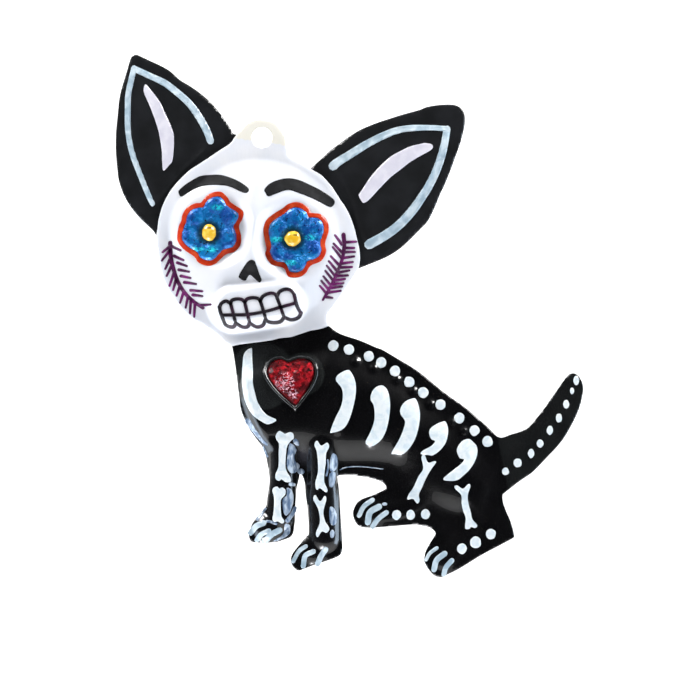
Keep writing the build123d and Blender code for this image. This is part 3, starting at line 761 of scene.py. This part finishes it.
def body_height(across, up):
    """Height of the body's front."""
    inside = depth_inside(chest_line + trunk_line[1:-1], across, up)
    behind_chest = distance_to(chest_line, across, up)
    from_rim = np.where(inside > 0, distance_to(trunk_line, across, up), 0)
    fall_start, fall_end = (place((pixel, 0))[0] for pixel in rear_fall_pixels)
    rear = eased((across - fall_start) / (fall_end - fall_start))
    fading = 1 - eased(behind_chest / breast_reach - breast_fade)
    breast = breast_share * eased(from_rim / breast_slope) * fading
    height = trunk_rise * (1 - rear_fall_share * rear) * np.maximum(eased(from_rim / trunk_slope), breast)
    below_chin = eased(distance_to(chin_line, across, up) / neck_slope)
    height = height * ramp(behind_chest / chest_slope) * below_chin
    swell_low, swell_high = (place((0, pixel))[1] for pixel in swell_pixels)
    swell = 1 + swell_share * eased((up - swell_low) / (swell_high - swell_low))
    legs = np.zeros(np.shape(across))
    for line, half_width, rise in leg_lines:
        legs = np.maximum(legs, cap(distance_to(line, across, up), half_width, rise) * swell)
    for pixel, radius, rise in paw_domes:
        legs = soft_higher(legs, cap(away_from(pixel, across, up), radius * mm, rise * mm), paw_crease)
    height = soft_higher(height, legs, leg_crease)
    haunch = eased((haunch_radius - away_from(haunch_pixel, across, up)) / haunch_slope)
    height = height + haunch_rise * haunch * eased(inside / chest_slope)
    for line in rib_lines:
        height = height + rib_rise * eased(1 - distance_to(line, across, up) / rib_half_width)
    for pixel in vertebra_pixels:
        height = height + vertebra_rise * eased(1 - away_from(pixel, across, up) / vertebra_radius)
    dish = eased(1 - away_from(heart_dish_pixel, across, up) / heart_dish_radius)
    height = height - heart_dish_depth * dish
    return rear_front + height - rolled(body_outline, across, up)


body_enamel = Finish("body_enamel", Roughness=0.25, Coat_Weight=1.0, Coat_Roughness=0.03)
# Painted reflection: the flat tail is tinted towards grey, standing in for its even sheen.
tail_reflection = body_enamel.along("X") + body_enamel.along("Z") * tail_lean
tail_reflection = tail_reflection.within(tail_edge - tail_blend, tail_edge + tail_blend)
# Painted reflection: two grey patches beside the heart stand in for light mirrored in the gloss.
reflection_patches = sum(body_enamel.near(*spot) for spot in reflection_spots)
# Painted highlight: a soft pale glow low on the chest, between the front legs.
glow = body_enamel.near(glow_pixel, 0, glow_reach, glow_stretch)
body_cloud = body_enamel.noise(5 * mm, detail=4).within(0.3, 0.7)
deep_black = body_enamel.mix(body_cloud, (4, 4, 6), (11, 11, 13))
reflection_grey = body_enamel.mix(body_cloud, (28, 30, 31), (36, 39, 39))
shaded = body_enamel.mix((reflection_patches + tail_reflection * 0.5).within(0, 1), deep_black, reflection_grey)
shaded = body_enamel.mix(glow * 0.7, shaded, (66, 66, 74))
edge_specks = body_enamel.noise(0.35 * mm, detail=2).within(0.74, 0.78)
body_enamel.set("Base Color", body_enamel.mix(edge_specks * 0.5, shaded, (96, 84, 70)))
body_enamel.bump(body_enamel.noise(2.2 * mm, detail=2) + body_enamel.noise(0.5 * mm) * 0.15, 0.05 * mm)
body = pressed_piece("body_sheet", [body_outline], body_cell, body_height, [body_enamel, bare_tin], sheet)
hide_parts("body_plate")

bone_lift, reflection_lift = 0.09 * mm, 0.06 * mm
bone_shapes = [
    [
        (279.2, 430.8), (276, 435.1), (276.5, 438.9), (279.2, 443.5), (279, 452.4), (278.7, 466.4),
        (276, 472.9), (276, 478.3), (279.2, 480.4), (281.9, 478.8), (285.7, 481.5), (290.6, 481.5),
        (290.6, 477.2), (287.4, 471.8), (285.7, 466.4), (286, 455.6), (287.4, 445.9), (291.2, 440.5),
        (293.9, 437.8), (293.3, 433.5), (290.1, 431.9), (285.2, 433.5), (282.5, 431.9),
    ],
    [
        (277.2, 486.2), (273.8, 487.4), (272.5, 490.7), (274, 495.5), (274.3, 504.1), (273.6, 512.8),
        (272.7, 518.2), (274.3, 521.4), (278.1, 520.9), (282.5, 523), (284.4, 520.3), (281.6, 515.5),
        (280.9, 505.2), (281.4, 498.7), (285.2, 494.4), (285.7, 489.6), (282.5, 487.1), (279.8, 488.2),
    ],
    [
        (317.1, 440.3), (314.5, 444.5), (317.1, 452), (318.2, 470.1), (315.5, 481.9), (316.6, 489.1),
        (320.3, 487.7), (325.7, 491.7), (327.6, 489.3), (324.1, 479.7), (325.7, 462.7), (326.2, 453.1),
        (329.1, 446.7), (327.3, 442.4), (321.2, 445.1),
    ],
    [
        (315.5, 494.7), (313.4, 498.9), (318.2, 508.5), (320, 521.3), (316.1, 532), (317.7, 536.5),
        (321.9, 530.9), (326.7, 532.2), (329.4, 527.7), (325.1, 520.3), (323.5, 510.7), (326.4, 498.9),
        (324.6, 495.7), (320, 500.9),
    ],
    [
        (424, 454), (421.2, 457.2), (423, 468), (418.2, 476.4), (413.4, 487.2), (408.6, 494.4),
        (407.4, 499.2), (412.8, 498.6), (417, 503.2), (419.4, 500.4), (418.8, 494.4), (421.8, 487.2),
        (426.6, 476.4), (431.4, 468), (435.6, 462), (433.8, 460.8), (427.8, 462),
    ],
    [
        (456.6, 484.8), (454.2, 487.2), (460.8, 494.4), (461.4, 502.8), (463.2, 511.2), (465.6, 517.8),
        (465, 528), (469.2, 528.6), (471, 526.8), (475.2, 527.8), (477, 525), (472.2, 519), (470.4, 511.2),
        (468, 502.8), (467.4, 494.4), (470, 486), (468, 483.6), (462.4, 488.2),
    ],
]
rib_shapes = [
    [
        (347.4, 369.9), (338.3, 374.4), (336.1, 380.1), (341.7, 388), (342.9, 397.1), (340.6, 407.3),
        (335.5, 417.5), (330.4, 431.1), (332.7, 432.2), (341.7, 429.4), (347.4, 423.1), (351.4, 412.9),
        (354.8, 399.3), (355.9, 388), (354.8, 380.1), (351.4, 372.7),
    ],
    [
        (380.8, 385.2), (374.6, 388), (371.2, 393.7), (370.6, 399.3), (373.5, 405), (374.6, 414.1),
        (373.5, 423.1), (369.5, 433.3), (365.5, 441.8), (368.9, 445.6), (374.6, 444.7), (381.4, 439),
        (385.9, 429.9), (388.8, 417.5), (389.9, 403.9), (388.2, 392.5), (384.8, 386.9),
    ],
    [
        (413, 398.3), (405, 401.5), (400.5, 408), (400.5, 414), (404.8, 420.5), (403.5, 428), (399, 439),
        (391.5, 452.5), (394.5, 453.8), (402.5, 453.8), (409, 448), (414.5, 439), (418, 428), (419.8, 415),
        (418.5, 406), (416, 399.5),
    ],
    [
        (444, 421.2), (437, 423.5), (430.5, 428), (429, 433), (431, 438.5), (434.8, 440.8), (431, 445.5),
        (423, 450), (420.5, 453.5), (428, 454.5), (432.5, 454.8), (439, 450.5), (445, 443), (447.5, 435),
        (447.8, 428), (446, 422.5),
    ],
    [
        (469, 439), (462, 441), (457.5, 447), (457, 452), (459.5, 457.5), (463.8, 459.3), (460, 464),
        (453, 469.5), (443.5, 477.5), (445.5, 480), (456, 479.8), (463, 475), (470, 468), (475, 460),
        (477.3, 452), (476.5, 446), (474, 443),
    ],
]
chest_stroke_pixels = [
    (251.1, 348.1), (247.1, 350), (243.7, 355.1), (242.6, 365.3), (242, 380.1), (243.1, 392.5),
    (245.4, 401.6), (249.9, 410.7), (255.6, 416.9), (262.4, 421.4), (268.6, 423.9), (276.6, 419.7),
    (268.1, 415.2), (262.4, 409.5), (257.9, 401.6), (255.6, 393.7), (253.3, 383.5), (253.1, 371),
    (252.2, 357.4), (252, 349.5),
]
spine_dots = [
    (333.3, 345.5), (348.8, 349.5), (368.7, 356.2), (381.2, 362.5), (395, 371), (409.2, 382),
    (423.2, 392.5), (440.5, 404.5), (459.3, 418), (474.5, 430.5), (487.5, 441.7),
]
spine_dot_size = (10.2, 10.6)
small_dots = [
    ((505.5, 471.3), (7, 7.5)), ((517.5, 462.9), (8, 9)), ((531.1, 453.4), (6, 9)),
    ((540.1, 443.5), (6.5, 8.5)), ((549.8, 430.4), (6, 9)), ((558.8, 418), (6, 9)),
    ((566.2, 404.2), (6, 8.5)), ((572, 390.8), (4, 6.5)), ((576.2, 380.4), (5.5, 9)),
    ((396.6, 514.8), (8.6, 10)), ((410.6, 514.8), (8.6, 10)), ((425.4, 514.2), (8.6, 10)),
    ((461.8, 548.4), (9.6, 10.6)), ((475.6, 542.4), (11, 11.6)), ((490.8, 534), (9.6, 10.4)),
]
toe_strokes = [
    ([(305.9, 545.9), (299, 551), (293.1, 561.3)], 4.0),
    ([(313.4, 551.2), (305.4, 555.5), (303.3, 566.1)], 5.0),
    ([(325.7, 549.1), (321, 556), (317.7, 564)], 5.5), ([(263.8, 522.4), (256, 526), (250.5, 533)], 5.5),
    ([(269.1, 530.4), (261.5, 534), (256.9, 540)], 5.0), ([(279.8, 529.9), (272, 534), (264.9, 541)], 6.0),
    ([(372.6, 499.8), (364, 506), (359, 515.6)], 4.5), ([(379.2, 506.4), (370, 512), (367.8, 522.4)], 6.0),
    ([(386.4, 512.4), (378, 519), (372.6, 526.6)], 5.0), ([(436.8, 547.8), (430, 553), (426, 559.8)], 3.5),
    ([(444.6, 553.2), (436.5, 560), (434, 569.6)], 5.5),
    ([(451.8, 560.4), (446, 567), (443.8, 574.6)], 5.0),
]
dot_points, dot_wander, dot_wave = 14, 0.12, 1.2


def dot(pixel, size):
    """Outline of a dabbed dot, a little out of round."""
    outline = []
    for turn in range(dot_points):
        facing = 2 * math.pi * turn / dot_points
        aside, down = math.cos(facing), math.sin(facing)
        wander = noise.noise(Vector((pixel[0], pixel[1], 0)) + dot_wave * Vector((aside, down, 0)))
        wander = 1 + dot_wander * wander
        outline.append((pixel[0] + wander * size[0] / 2 * aside, pixel[1] + wander * size[1] / 2 * down))
    return outline


bone_white = Finish("bone_white_paint", Roughness=0.3, Coat_Weight=0.4, Coat_Roughness=0.1)
bone_white.paint(
    2.2 * mm, 0.32, 0.62, (214, 229, 238), (241, 248, 252), grain=(0.7 * mm, 0.04 * mm), detail=4,
    roughness=0.6, distortion=0.8,
)
bone_marks = [blob(shape) for shape in bone_shapes + rib_shapes + [chest_stroke_pixels]]
bone_marks += [blob(dot(pixel, spine_dot_size)) for pixel in spine_dots]
bone_marks += [blob(dot(pixel, size)) for pixel, size in small_dots]
bones = lay_paint("bones_and_dots", bone_marks, body_height, bone_white, body_cell, bone_lift)

# Painted reflections: pale blue-grey patches and strokes on the front legs, the chest and the belly stand in
# for light mirrored in their glossy slopes.
reflection_shapes = [
    [
        (290.1, 443.2), (294.4, 445.4), (296.6, 450.2), (294.4, 455.6), (295.5, 461), (299.8, 465.3),
        (297.7, 470.7), (294.4, 472.9), (290.1, 471.8), (287.2, 465.3), (287.6, 455.6), (289, 447),
    ],
    [(294.6, 438.6), (297.6, 439.8), (299.3, 444.8), (296.6, 445.4), (293.2, 441.8)],
    [
        (287.2, 487.4), (291.2, 489), (293.3, 494.4), (293.3, 502), (291.2, 509.5), (286.8, 515),
        (284.2, 512.8), (283, 506.3), (283.1, 499), (286.7, 495.2), (287.2, 490.1),
    ],
    [
        (285.6, 523.2), (290.1, 525.6), (289.6, 533.3), (284.6, 537.4), (277, 541), (273.4, 540.8),
        (280.4, 536.5), (284, 532.4), (284.6, 527.4),
    ],
    [
        (333.5, 453), (337.3, 456.8), (337.8, 465.5), (335.6, 469.8), (331.8, 471.4), (329.7, 467.6),
        (330.7, 457.9),
    ],
    [(329.7, 473.2), (335.6, 472.6), (335.1, 481.6), (332.4, 486.6), (329.3, 484.6)],
    [
        (330, 506.9), (333.5, 507.4), (336.7, 513.9), (336.7, 521.5), (334.6, 524.7), (330.9, 523.7),
        (329.4, 516),
    ],
]
reflection_brushes = [
    ([(295, 508), (292.6, 514), (287.4, 520.4)], 3.6, 4.2), ([(290.6, 483.8), (294.4, 484.6)], 3.6, 3.0),
    ([(261, 523.6), (268, 520.8), (276.4, 523.4)], 2.2, 2.4),
    ([(265.4, 508.6), (262, 513.6), (257.4, 519)], 2.4, 3.4), ([(263.6, 447.4), (267.4, 456.6)], 2.4, 1.8),
    ([(247.6, 421), (254, 430.4), (262, 440.4), (267, 444.6)], 5.4, 2.2),
    ([(327.8, 459.6), (328.2, 467), (326.6, 475)], 1.8, 1.8),
    ([(340, 469.6), (347, 467.2), (362, 466.6), (383, 469)], 1.1, 0.7),
]
reflection_dots = [((301, 471.6), (7, 6)), ((332.4, 533.4), (4.4, 8)), ((384.5, 504), (5.4, 3))]
painted_reflection = Finish("painted_reflection", Roughness=0.25, Coat_Weight=0.8, Coat_Roughness=0.06)
painted_reflection.paint(
    1.1 * mm, 0.38, 0.66, (92, 116, 148), (196, 212, 230), grain=(0.6 * mm, 0.04 * mm), detail=4,
    where=painted_reflection.where((1, 1, 0.4)), distortion=0.8,
)
reflection_marks = [blob(shape) for shape in reflection_shapes]
reflection_marks += [brush(points, start, end) for points, start, end in reflection_brushes]
reflection_marks += [blob(dot(pixel, size)) for pixel, size in reflection_dots]
leg_reflections = lay_paint("painted_leg_reflections", reflection_marks, body_height, painted_reflection, body_cell, reflection_lift)

toe_marks = [brush(points, width) for points, width in toe_strokes]
toes = lay_paint("toe_strokes", toe_marks, body_height, pale_blue, body_cell, bone_lift)


# Eye flowers. Each is a thin crinkled tin flower with six puffed petals under blue lacquer, seated in its
# socket and ringed on the skull with an orange outline.
petal_sheet = 0.3 * mm
flower_seat = head_front + socket_rise + petal_sheet
flower_cell = 0.3 * mm
petal_radius, petal_rise, petal_crease = 2.9 * mm, 0.9 * mm, 0.2 * mm
hub_radius, hub_slope = 1.8 * mm, 1.5 * mm
base_rise, base_slope, petal_edge_slope = 0.35 * mm, 0.8 * mm, 0.6 * mm
petal_fold_size, petal_fold_depth = 1.3 * mm, 0.06 * mm
fold_fade, fold_step, fold_layers = 0.6, 2.2, 4
outline_width_pixels, outline_lap, outline_sheet = 4.6, 0.25 * mm, 0.1 * mm
climb_start, climb_slope = 1.2, 0.5 * mm
highlight_full, highlight_none, highlight_stretch = 0.3 * mm, 1.3 * mm, (0.7, 0, 1.4)
knob_shade_full, knob_shade_none = 2.0 * mm, 3.3 * mm
flower_sides = [
    (
        "left",
        [
            (215.2, 192.5), (208.7, 195), (204.6, 199), (201.4, 203.1), (195.6, 203.9), (187.5, 208),
            (182.9, 215.4), (182, 221), (179.4, 226.5), (177.7, 235.8), (178.5, 242.3), (184.2, 249.7),
            (194.8, 257), (198.9, 262.7), (207.9, 266), (215.2, 264.4), (220.1, 260.3), (226.7, 254.6),
            (234.8, 252.1), (240.6, 245.6), (241.4, 235.8), (239.4, 226.8), (243, 218.6), (243, 211.3),
            (231.6, 203.1), (227.5, 197.4), (221.8, 192.5),
        ],
        [(216, 205), (231, 215.5), (230.5, 237), (211, 252.5), (191, 240), (195, 218)], (209.7, 233),
    ),
    (
        "right",
        [
            (298.5, 202.8), (288.7, 204.7), (283, 208.8), (274, 214.5), (266.7, 221), (263.8, 230),
            (265, 240.7), (266.7, 248.8), (265.9, 255.4), (271.6, 264.4), (283.8, 268.4), (288.7, 276.6),
            (298.5, 277.4), (305.9, 273.3), (310.8, 266), (321.4, 261.1), (326.3, 252.1), (325.2, 243.9),
            (328.8, 230.9), (327.1, 221), (320.6, 214.5), (311.6, 213.2), (308.3, 208),
        ],
        [(298, 217), (315, 228), (312.5, 250.5), (295.5, 264), (278, 253), (279, 230)], (293, 239),
    ),
]
# Places of the painted highlights on the petals.
highlight_pixels = [(212, 250), (199, 249), (218, 208), (291, 263), (284, 240), (276, 240), (310, 238)]


def moved_in(points, distance):
    """Outline moved towards its middle by a distance."""
    middle = sum(points) / len(points)
    return [point + (middle - point) * distance / np.hypot(*(middle - point)) for point in points]


def crinkle(across, up, size, depth):
    """Crinkled foil relief."""
    return np.array([
        depth * noise.fractal(Vector((x / size, z / size, 0)), fold_fade, fold_step, fold_layers)
        for x, z in zip(across, up)
    ])


blue_lacquer = Finish("blue_lacquer", Metallic=0.35, Roughness=0.3, Coat_Weight=0.7, Coat_Roughness=0.04)
lacquer_tint = blue_lacquer.clouded(
    2.4 * mm, 0.36, 0.68, (0, 80, 172), (0, 138, 212), detail=4, roughness=0.6, distortion=0.5,
)
# Painted highlight: ragged cyan flecks at the listed spots stand in for light glinting off the foil.
painted_highlights = sum(
    blue_lacquer.near(pixel, highlight_full, highlight_none, highlight_stretch) for pixel in highlight_pixels
)
ragged_highlight = blue_lacquer.noise(0.8 * mm, detail=2, distortion=1.0).within(0.42, 0.5)
lacquer_tint = blue_lacquer.mix(painted_highlights * ragged_highlight, lacquer_tint, (30, 222, 244))
# Painted shade: dark teal round each knob, where the petals sink to the hub.
knob_shade = sum(blue_lacquer.near(knob_pixel, knob_shade_full, knob_shade_none) for *_, knob_pixel in flower_sides)
lacquer_tint = blue_lacquer.mix(knob_shade * 0.9, lacquer_tint, (8, 52, 60))
# Painted reflection: small dark blue specks where the crinkled tin mirrors the dark room.
dark_reflection_specks = blue_lacquer.noise(0.5 * mm, detail=2, distortion=0.6).within(0.63, 0.67)
blue_lacquer.set("Base Color", blue_lacquer.mix(dark_reflection_specks, lacquer_tint, (5, 9, 40)))
blue_lacquer.grain(0.9 * mm, 0.3 * mm, roughness=0.6, distortion=1.2)

orange = Finish("orange_paint", Roughness=0.3, Coat_Weight=0.5, Coat_Roughness=0.08)
orange.paint(2 * mm, 0.4, 0.7, (206, 52, 20), (234, 84, 40), grain=(0.6 * mm, 0.03 * mm))

for side, rim_pixels, petal_pixels, knob_pixel in flower_sides:
    rim = line_of(rim_pixels, closed=True, parts=4)
    petal_line = moved_in(rim, outline_width_pixels * pixel_size)

    def flower_height(across, up):
        """Height of the flower's front."""
        inside = depth_inside(petal_line, across, up)
        raised = np.zeros(np.shape(across))
        for pixel in petal_pixels:
            petal = cap(away_from(pixel, across, up), petal_radius, petal_rise)
            raised = soft_higher(raised, petal, petal_crease)
        raised = raised * eased((away_from(knob_pixel, across, up) - hub_radius) / hub_slope)
        raised = soft_higher(raised, base_rise * eased(inside / base_slope), petal_crease)
        folds = crinkle(across, up, petal_fold_size, petal_fold_depth)
        return flower_seat + raised * eased(inside / petal_edge_slope) + folds

    def outline_height(across, up):
        """Height of the orange outline, which climbs from the skull to the flower's edge."""
        from_petals = distance_to(petal_line, across, up, closed=True)
        climb = petal_sheet * eased(climb_start - from_petals / climb_slope)
        return head_height(across, up) + outline_sheet + climb

    flower = pressed_piece(
        side + "_flower", [petal_line], flower_cell, flower_height, [blue_lacquer, bare_tin], petal_sheet,
    )
    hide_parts(side + "_eye_flower")
    ring_loops = [rim, moved_in(petal_line, outline_lap)]
    ring = pressed_piece(side + "_eye_outline", ring_loops, head_cell, outline_height, [orange], outline_sheet)


# Eye rivets. A soft domed rivet fixes each flower through the skull; its head is dabbed with yellow enamel
# and its tail is spread flat behind.
knob_profile = [(0, 1.35), (0.7, 1.28), (1.3, 1.02), (1.65, 0.6), (1.75, 0.1), (1.75, -0.05)]
tail_profile = [(0.9, -0.05), (0.9, -0.7), (1.5, -0.7), (1.5, -1.0), (1.2, -1.3), (0, -1.3)]
knob_steps, knob_weld, knob_back, knob_sink, knob_dent = 24, 0.001 * mm, 0.1 * mm, 0.05 * mm, 0.1
knob_stretch = {"left": (0.92, 1.14), "right": (1.08, 1.02)}
knob_fold_shades = [((210, 228.4), (0.25, 0, 1)), ((296, 235.6), (0.3, 0, 1))]
fold_shade_full, fold_shade_none = 0.1 * mm, 0.3 * mm
yellow = Finish("yellow_enamel", Roughness=0.22, Coat_Weight=0.8, Coat_Roughness=0.05)
# Painted shade: a brown line near the top of each knob stands for the shadow of a fold.
fold_shade = sum(yellow.near(pixel, fold_shade_full, fold_shade_none, stretch) for pixel, stretch in knob_fold_shades)
yellow_tint = yellow.clouded(1.2 * mm, 0.4, 0.7, (246, 190, 40), (254, 226, 100))
yellow.set("Base Color", yellow.mix(fold_shade * 0.8, yellow_tint, (92, 52, 10)))
yellow.grain(0.8 * mm, 0.12 * mm)
for side, *_, knob_pixel in flower_sides:
    knob = bmesh.new()
    for profile in (knob_profile, tail_profile):
        corners = [knob.verts.new((radius * mm, 0, height * mm)) for radius, height in profile]
        edges = [knob.edges.new(pair) for pair in zip(corners, corners[1:])]
        bmesh.ops.spin(
            knob, geom=corners + edges, cent=(0, 0, 0), axis=(0, 0, 1), angle=2 * math.pi, steps=knob_steps,
            use_merge=True,
        )
    bmesh.ops.remove_doubles(knob, verts=knob.verts[:], dist=knob_weld)
    bmesh.ops.recalc_face_normals(knob, faces=knob.faces[:])
    for face in knob.faces:
        face.material_index = 0 if face.calc_center_median().z > -knob_back else 1
    centre = place(knob_pixel)
    wide, tall = knob_stretch[side]
    bmesh.ops.transform(knob, matrix=Matrix.Rotation(math.radians(90), 4, "X"), verts=knob.verts[:])
    for corner in knob.verts:
        if corner.co.y < knob_back:
            dent = 1 + knob_dent * noise.noise(corner.co / mm + Vector((len(side), 0, 0)))
            corner.co = Vector((corner.co.x * wide * dent, corner.co.y * dent, corner.co.z * tall * dent))
    bmesh.ops.translate(knob, verts=knob.verts[:], vec=(centre[0], -flower_seat - knob_sink, centre[1]))
    rivet = piece_from(side + "_knob", knob, [yellow, bare_tin])
    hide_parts(side + "_eye_rivet")


# Heart. A puffed heart of crinkled foil under red lacquer sits in a raised rim on the chest; two small tabs
# lie flat behind the trunk.
heart_pixels = [
    [
        (289, 363), (284, 359.6), (278.3, 359.2), (272, 362), (268.3, 367.5), (267.6, 374), (272, 382),
        (282, 394), (295.3, 407),
    ],
    [
        (295.3, 407), (303, 396), (311, 383), (314.4, 373), (313, 364.5), (308.5, 359.8), (303, 358.6),
        (295, 359.6), (289, 363),
    ],
]
foil_sheet = 0.2 * mm
heart_rise, heart_slope, heart_cell = 1.5 * mm, 3.6 * mm, 0.3 * mm
heart_fold_size, heart_fold_depth, heart_fold_slope = 1.1 * mm, 0.14 * mm, 0.8 * mm
rim_width, rim_rise, rim_sink, rim_sheet = 1.0 * mm, 0.8 * mm, 0.1 * mm, 0.2 * mm
tab_size, tab_spacing, tab_bevel = Vector((1.4, 0.3, 1.6)) * mm, 3.3 * mm, 0.08 * mm
# Places of the painted highlight flecks on the heart.
highlight_spots = [((285, 382), 1.6 * mm, 2.8 * mm), ((294, 394), 0.6 * mm, 1.6 * mm)]
heart_line = outline_of(heart_pixels)
heart_middle = sum(heart_line) / len(heart_line)
rim_line = [
    heart_middle + (point - heart_middle) * (1 + rim_width / np.hypot(*(point - heart_middle)))
    for point in heart_line
]


def heart_height(across, up):
    """Height of the heart's front."""
    inside = depth_inside(heart_line, across, up)
    puffed = heart_rise * np.sqrt(np.clip(inside / heart_slope, 0, 1))
    folds = crinkle(across, up, heart_fold_size, heart_fold_depth) * eased(inside / heart_fold_slope)
    return body_height(across, up) + foil_sheet + puffed + folds


def rim_height(across, up):
    """Height of the rim pressed up round the heart."""
    share = np.clip(depth_inside(rim_line, across, up) / rim_width, 0, 1)
    rounded = np.sqrt(np.maximum(1 - (2 * share - 1) ** 2, 0))
    return body_height(across, up) - rim_sink + rim_rise * rounded


red_lacquer = Finish("red_lacquer", Metallic=0.85, Roughness=0.32, Coat_Weight=0.15, Coat_Roughness=0.05)
red_tint = red_lacquer.clouded(
    1.8 * mm, 0.4, 0.68, (80, 4, 12), (176, 17, 29), detail=4, distortion=0.6,
)
red_tint = red_lacquer.clouded(0.7 * mm, 0.56, 0.64, red_tint, (36, 1, 6), detail=2, distortion=1.0)
# Painted highlight: pale pink flecks in two spots on the heart's left stand in for light glinting off the
# foil.
highlight_area = sum(red_lacquer.near(*spot) for spot in highlight_spots).within(0, 1)
glint_flecks = red_lacquer.noise(0.45 * mm, detail=3, distortion=1.0).within(0.53, 0.57)
red_lacquer.set("Base Color", red_lacquer.mix(highlight_area * glint_flecks, red_tint, (246, 190, 208)))
red_lacquer.grain(0.7 * mm, 0.4 * mm, roughness=0.6, distortion=1.0)
heart = pressed_piece(
    "heart_foil", [heart_line], heart_cell, heart_height, [red_lacquer, bare_tin], foil_sheet,
)
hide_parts("heart")
rim_loops = [rim_line, heart_line]
heart_rim = pressed_piece("heart_rim", rim_loops, heart_cell, rim_height, [body_enamel], rim_sheet)
tabs = bmesh.new()
for side in (-1, 1):
    middle = heart_middle + np.array([side * tab_spacing / 2, 0])
    behind = float(body_height(middle[:1], middle[1:])[0]) - sheet - tab_size.y / 2
    spot = Matrix.Translation((middle[0], -behind, middle[1]))
    bmesh.ops.create_cube(tabs, size=1, matrix=spot @ Matrix.Diagonal((*tab_size, 1)))
bmesh.ops.bevel(
    tabs, geom=tabs.edges[:], offset=tab_bevel, offset_type="OFFSET", segments=2, profile=0.5,
    affect="EDGES", material=-1,
)
piece_from("heart_tabs", tabs, [bare_tin])


# Solder. Dull beads of soft solder on the back bridge the lapped edges of the ears and the neck and the rim
# of the skull. They keep the shape of the solids and only get their finish here.
solder = Finish("soft_solder", Metallic=1.0, Roughness=0.45)
solder.set("Base Color", solder.mix(solder.noise(1 * mm), (130, 130, 134), (190, 190, 194)))
solder.grain(0.6 * mm, 0.12 * mm, detail=4)
for node in ("left_ear_solder", "right_ear_solder", "neck_solder"):
    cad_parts[node].data.materials.clear()
    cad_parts[node].data.materials.append(solder.material)


# Studio. A pale paper sweep stands behind and below the hanging ornament, with three soft boxes and two blue
# cards well off its sides. A long lens looks straight at it, and the room is dark behind the lens, so that
# the gloss black stays black.
picture_pixels = (700, 679)
camera_distance, sensor_width = 0.62, 36
view_place = place((picture_pixels[0] / 2, picture_pixels[1] / 2))
camera = bpy.data.objects.new("camera", bpy.data.cameras.new("camera"))
bpy.context.scene.collection.objects.link(camera)
camera.location = (view_place[0], -camera_distance, view_place[1])
camera.rotation_euler = (math.radians(90), 0, 0)
camera.data.sensor_width = sensor_width
camera.data.lens = sensor_width * camera_distance / (picture_pixels[0] * pixel_size)
bpy.context.scene.camera = camera

sweep_profile = [(-8, -1.2, -0.9), (-8, 1.5, -0.9), (-8, 1.5, 6)]
sweep_length, sweep_bend, sweep_steps = 16, 0.5, 12
sweep = bmesh.new()
corners = [sweep.verts.new(point) for point in sweep_profile]
for pair in zip(corners, corners[1:]):
    sweep.edges.new(pair)
bmesh.ops.bevel(
    sweep, geom=corners[1:2], offset=sweep_bend, affect="VERTICES", segments=sweep_steps, profile=0.5,
    material=-1,
)
drawn = bmesh.ops.extrude_edge_only(sweep, edges=sweep.edges[:])
drawn_corners = [item for item in drawn["geom"] if isinstance(item, bmesh.types.BMVert)]
bmesh.ops.translate(sweep, verts=drawn_corners, vec=(sweep_length, 0, 0))
for face in sweep.faces:
    face.smooth = True
sweep_mesh = bpy.data.meshes.new("sweep")
sweep.to_mesh(sweep_mesh)
sweep.free()
sweep_piece = bpy.data.objects.new("sweep", sweep_mesh)
bpy.context.scene.collection.objects.link(sweep_piece)
paper = Finish("pale_paper", Roughness=0.9, Base_Color=(0.9, 0.9, 0.9, 1), Emission_Strength=0.9)
backlit = paper.along("Y").within(0.3, 1.1) + paper.add("ShaderNodeLightPath", output="Is Camera Ray")
paper.set("Emission Color", paper.mix(backlit, (0, 0, 0), (255, 255, 255)))
sweep_mesh.materials.append(paper.material)

for name, location, size, power, colour in [
    ("key_box", (-0.42, -0.18, 0.45), (0.3, 0.3), 5.4, (1, 1, 1)),
    ("right_box", (0.5, -0.17, 0.38), (0.3, 0.3), 5.4, (1, 0.99, 0.98)),
    ("low_box", (-0.12, -0.16, -0.6), (0.35, 0.2), 3.6, (0.95, 0.97, 1)),
    ("left_card", (-0.42, 0.0, -0.3), (0.3, 0.3), 0.6, (0.66, 0.82, 1)),
    ("right_card", (0.48, -0.06, -0.14), (0.14, 0.4), 0.9, (0.66, 0.82, 1)),
]:
    light = bpy.data.objects.new(name, bpy.data.lights.new(name, "AREA"))
    bpy.context.scene.collection.objects.link(light)
    light.location = location
    aim = Vector((view_place[0], 0, view_place[1])) - Vector(location)
    light.rotation_euler = aim.to_track_quat("-Z", "Y").to_euler()
    light.data.shape = "RECTANGLE"
    light.data.size, light.data.size_y = size
    light.data.energy = power
    light.data.color = colour

dark_to, bright_from = -0.85, -0.25
dark_strength, bright_strength, seen_strength = 0.015, 0.1, 1.06
world = bpy.data.worlds.new("room")
bpy.context.scene.world = world
world.use_nodes = True
room = Shading(world.node_tree, "Background")
facing = room.add("ShaderNodeTexCoord", output="Generated")
depth = room.add("ShaderNodeSeparateXYZ", None, {0: facing}, output="Y")
around = room.add("ShaderNodeMapRange", None, {
    "Value": depth, "From Min": dark_to, "From Max": bright_from, "To Min": dark_strength,
    "To Max": bright_strength,
})
seen = room.add("ShaderNodeLightPath", output="Is Camera Ray")
room.set("Color", (0.95, 0.97, 1.0, 1))
room.set("Strength", room.add("ShaderNodeMix", None, {"Factor": seen, "A": around, "B": seen_strength}))
bpy.context.scene.view_settings.view_transform = "Standard"
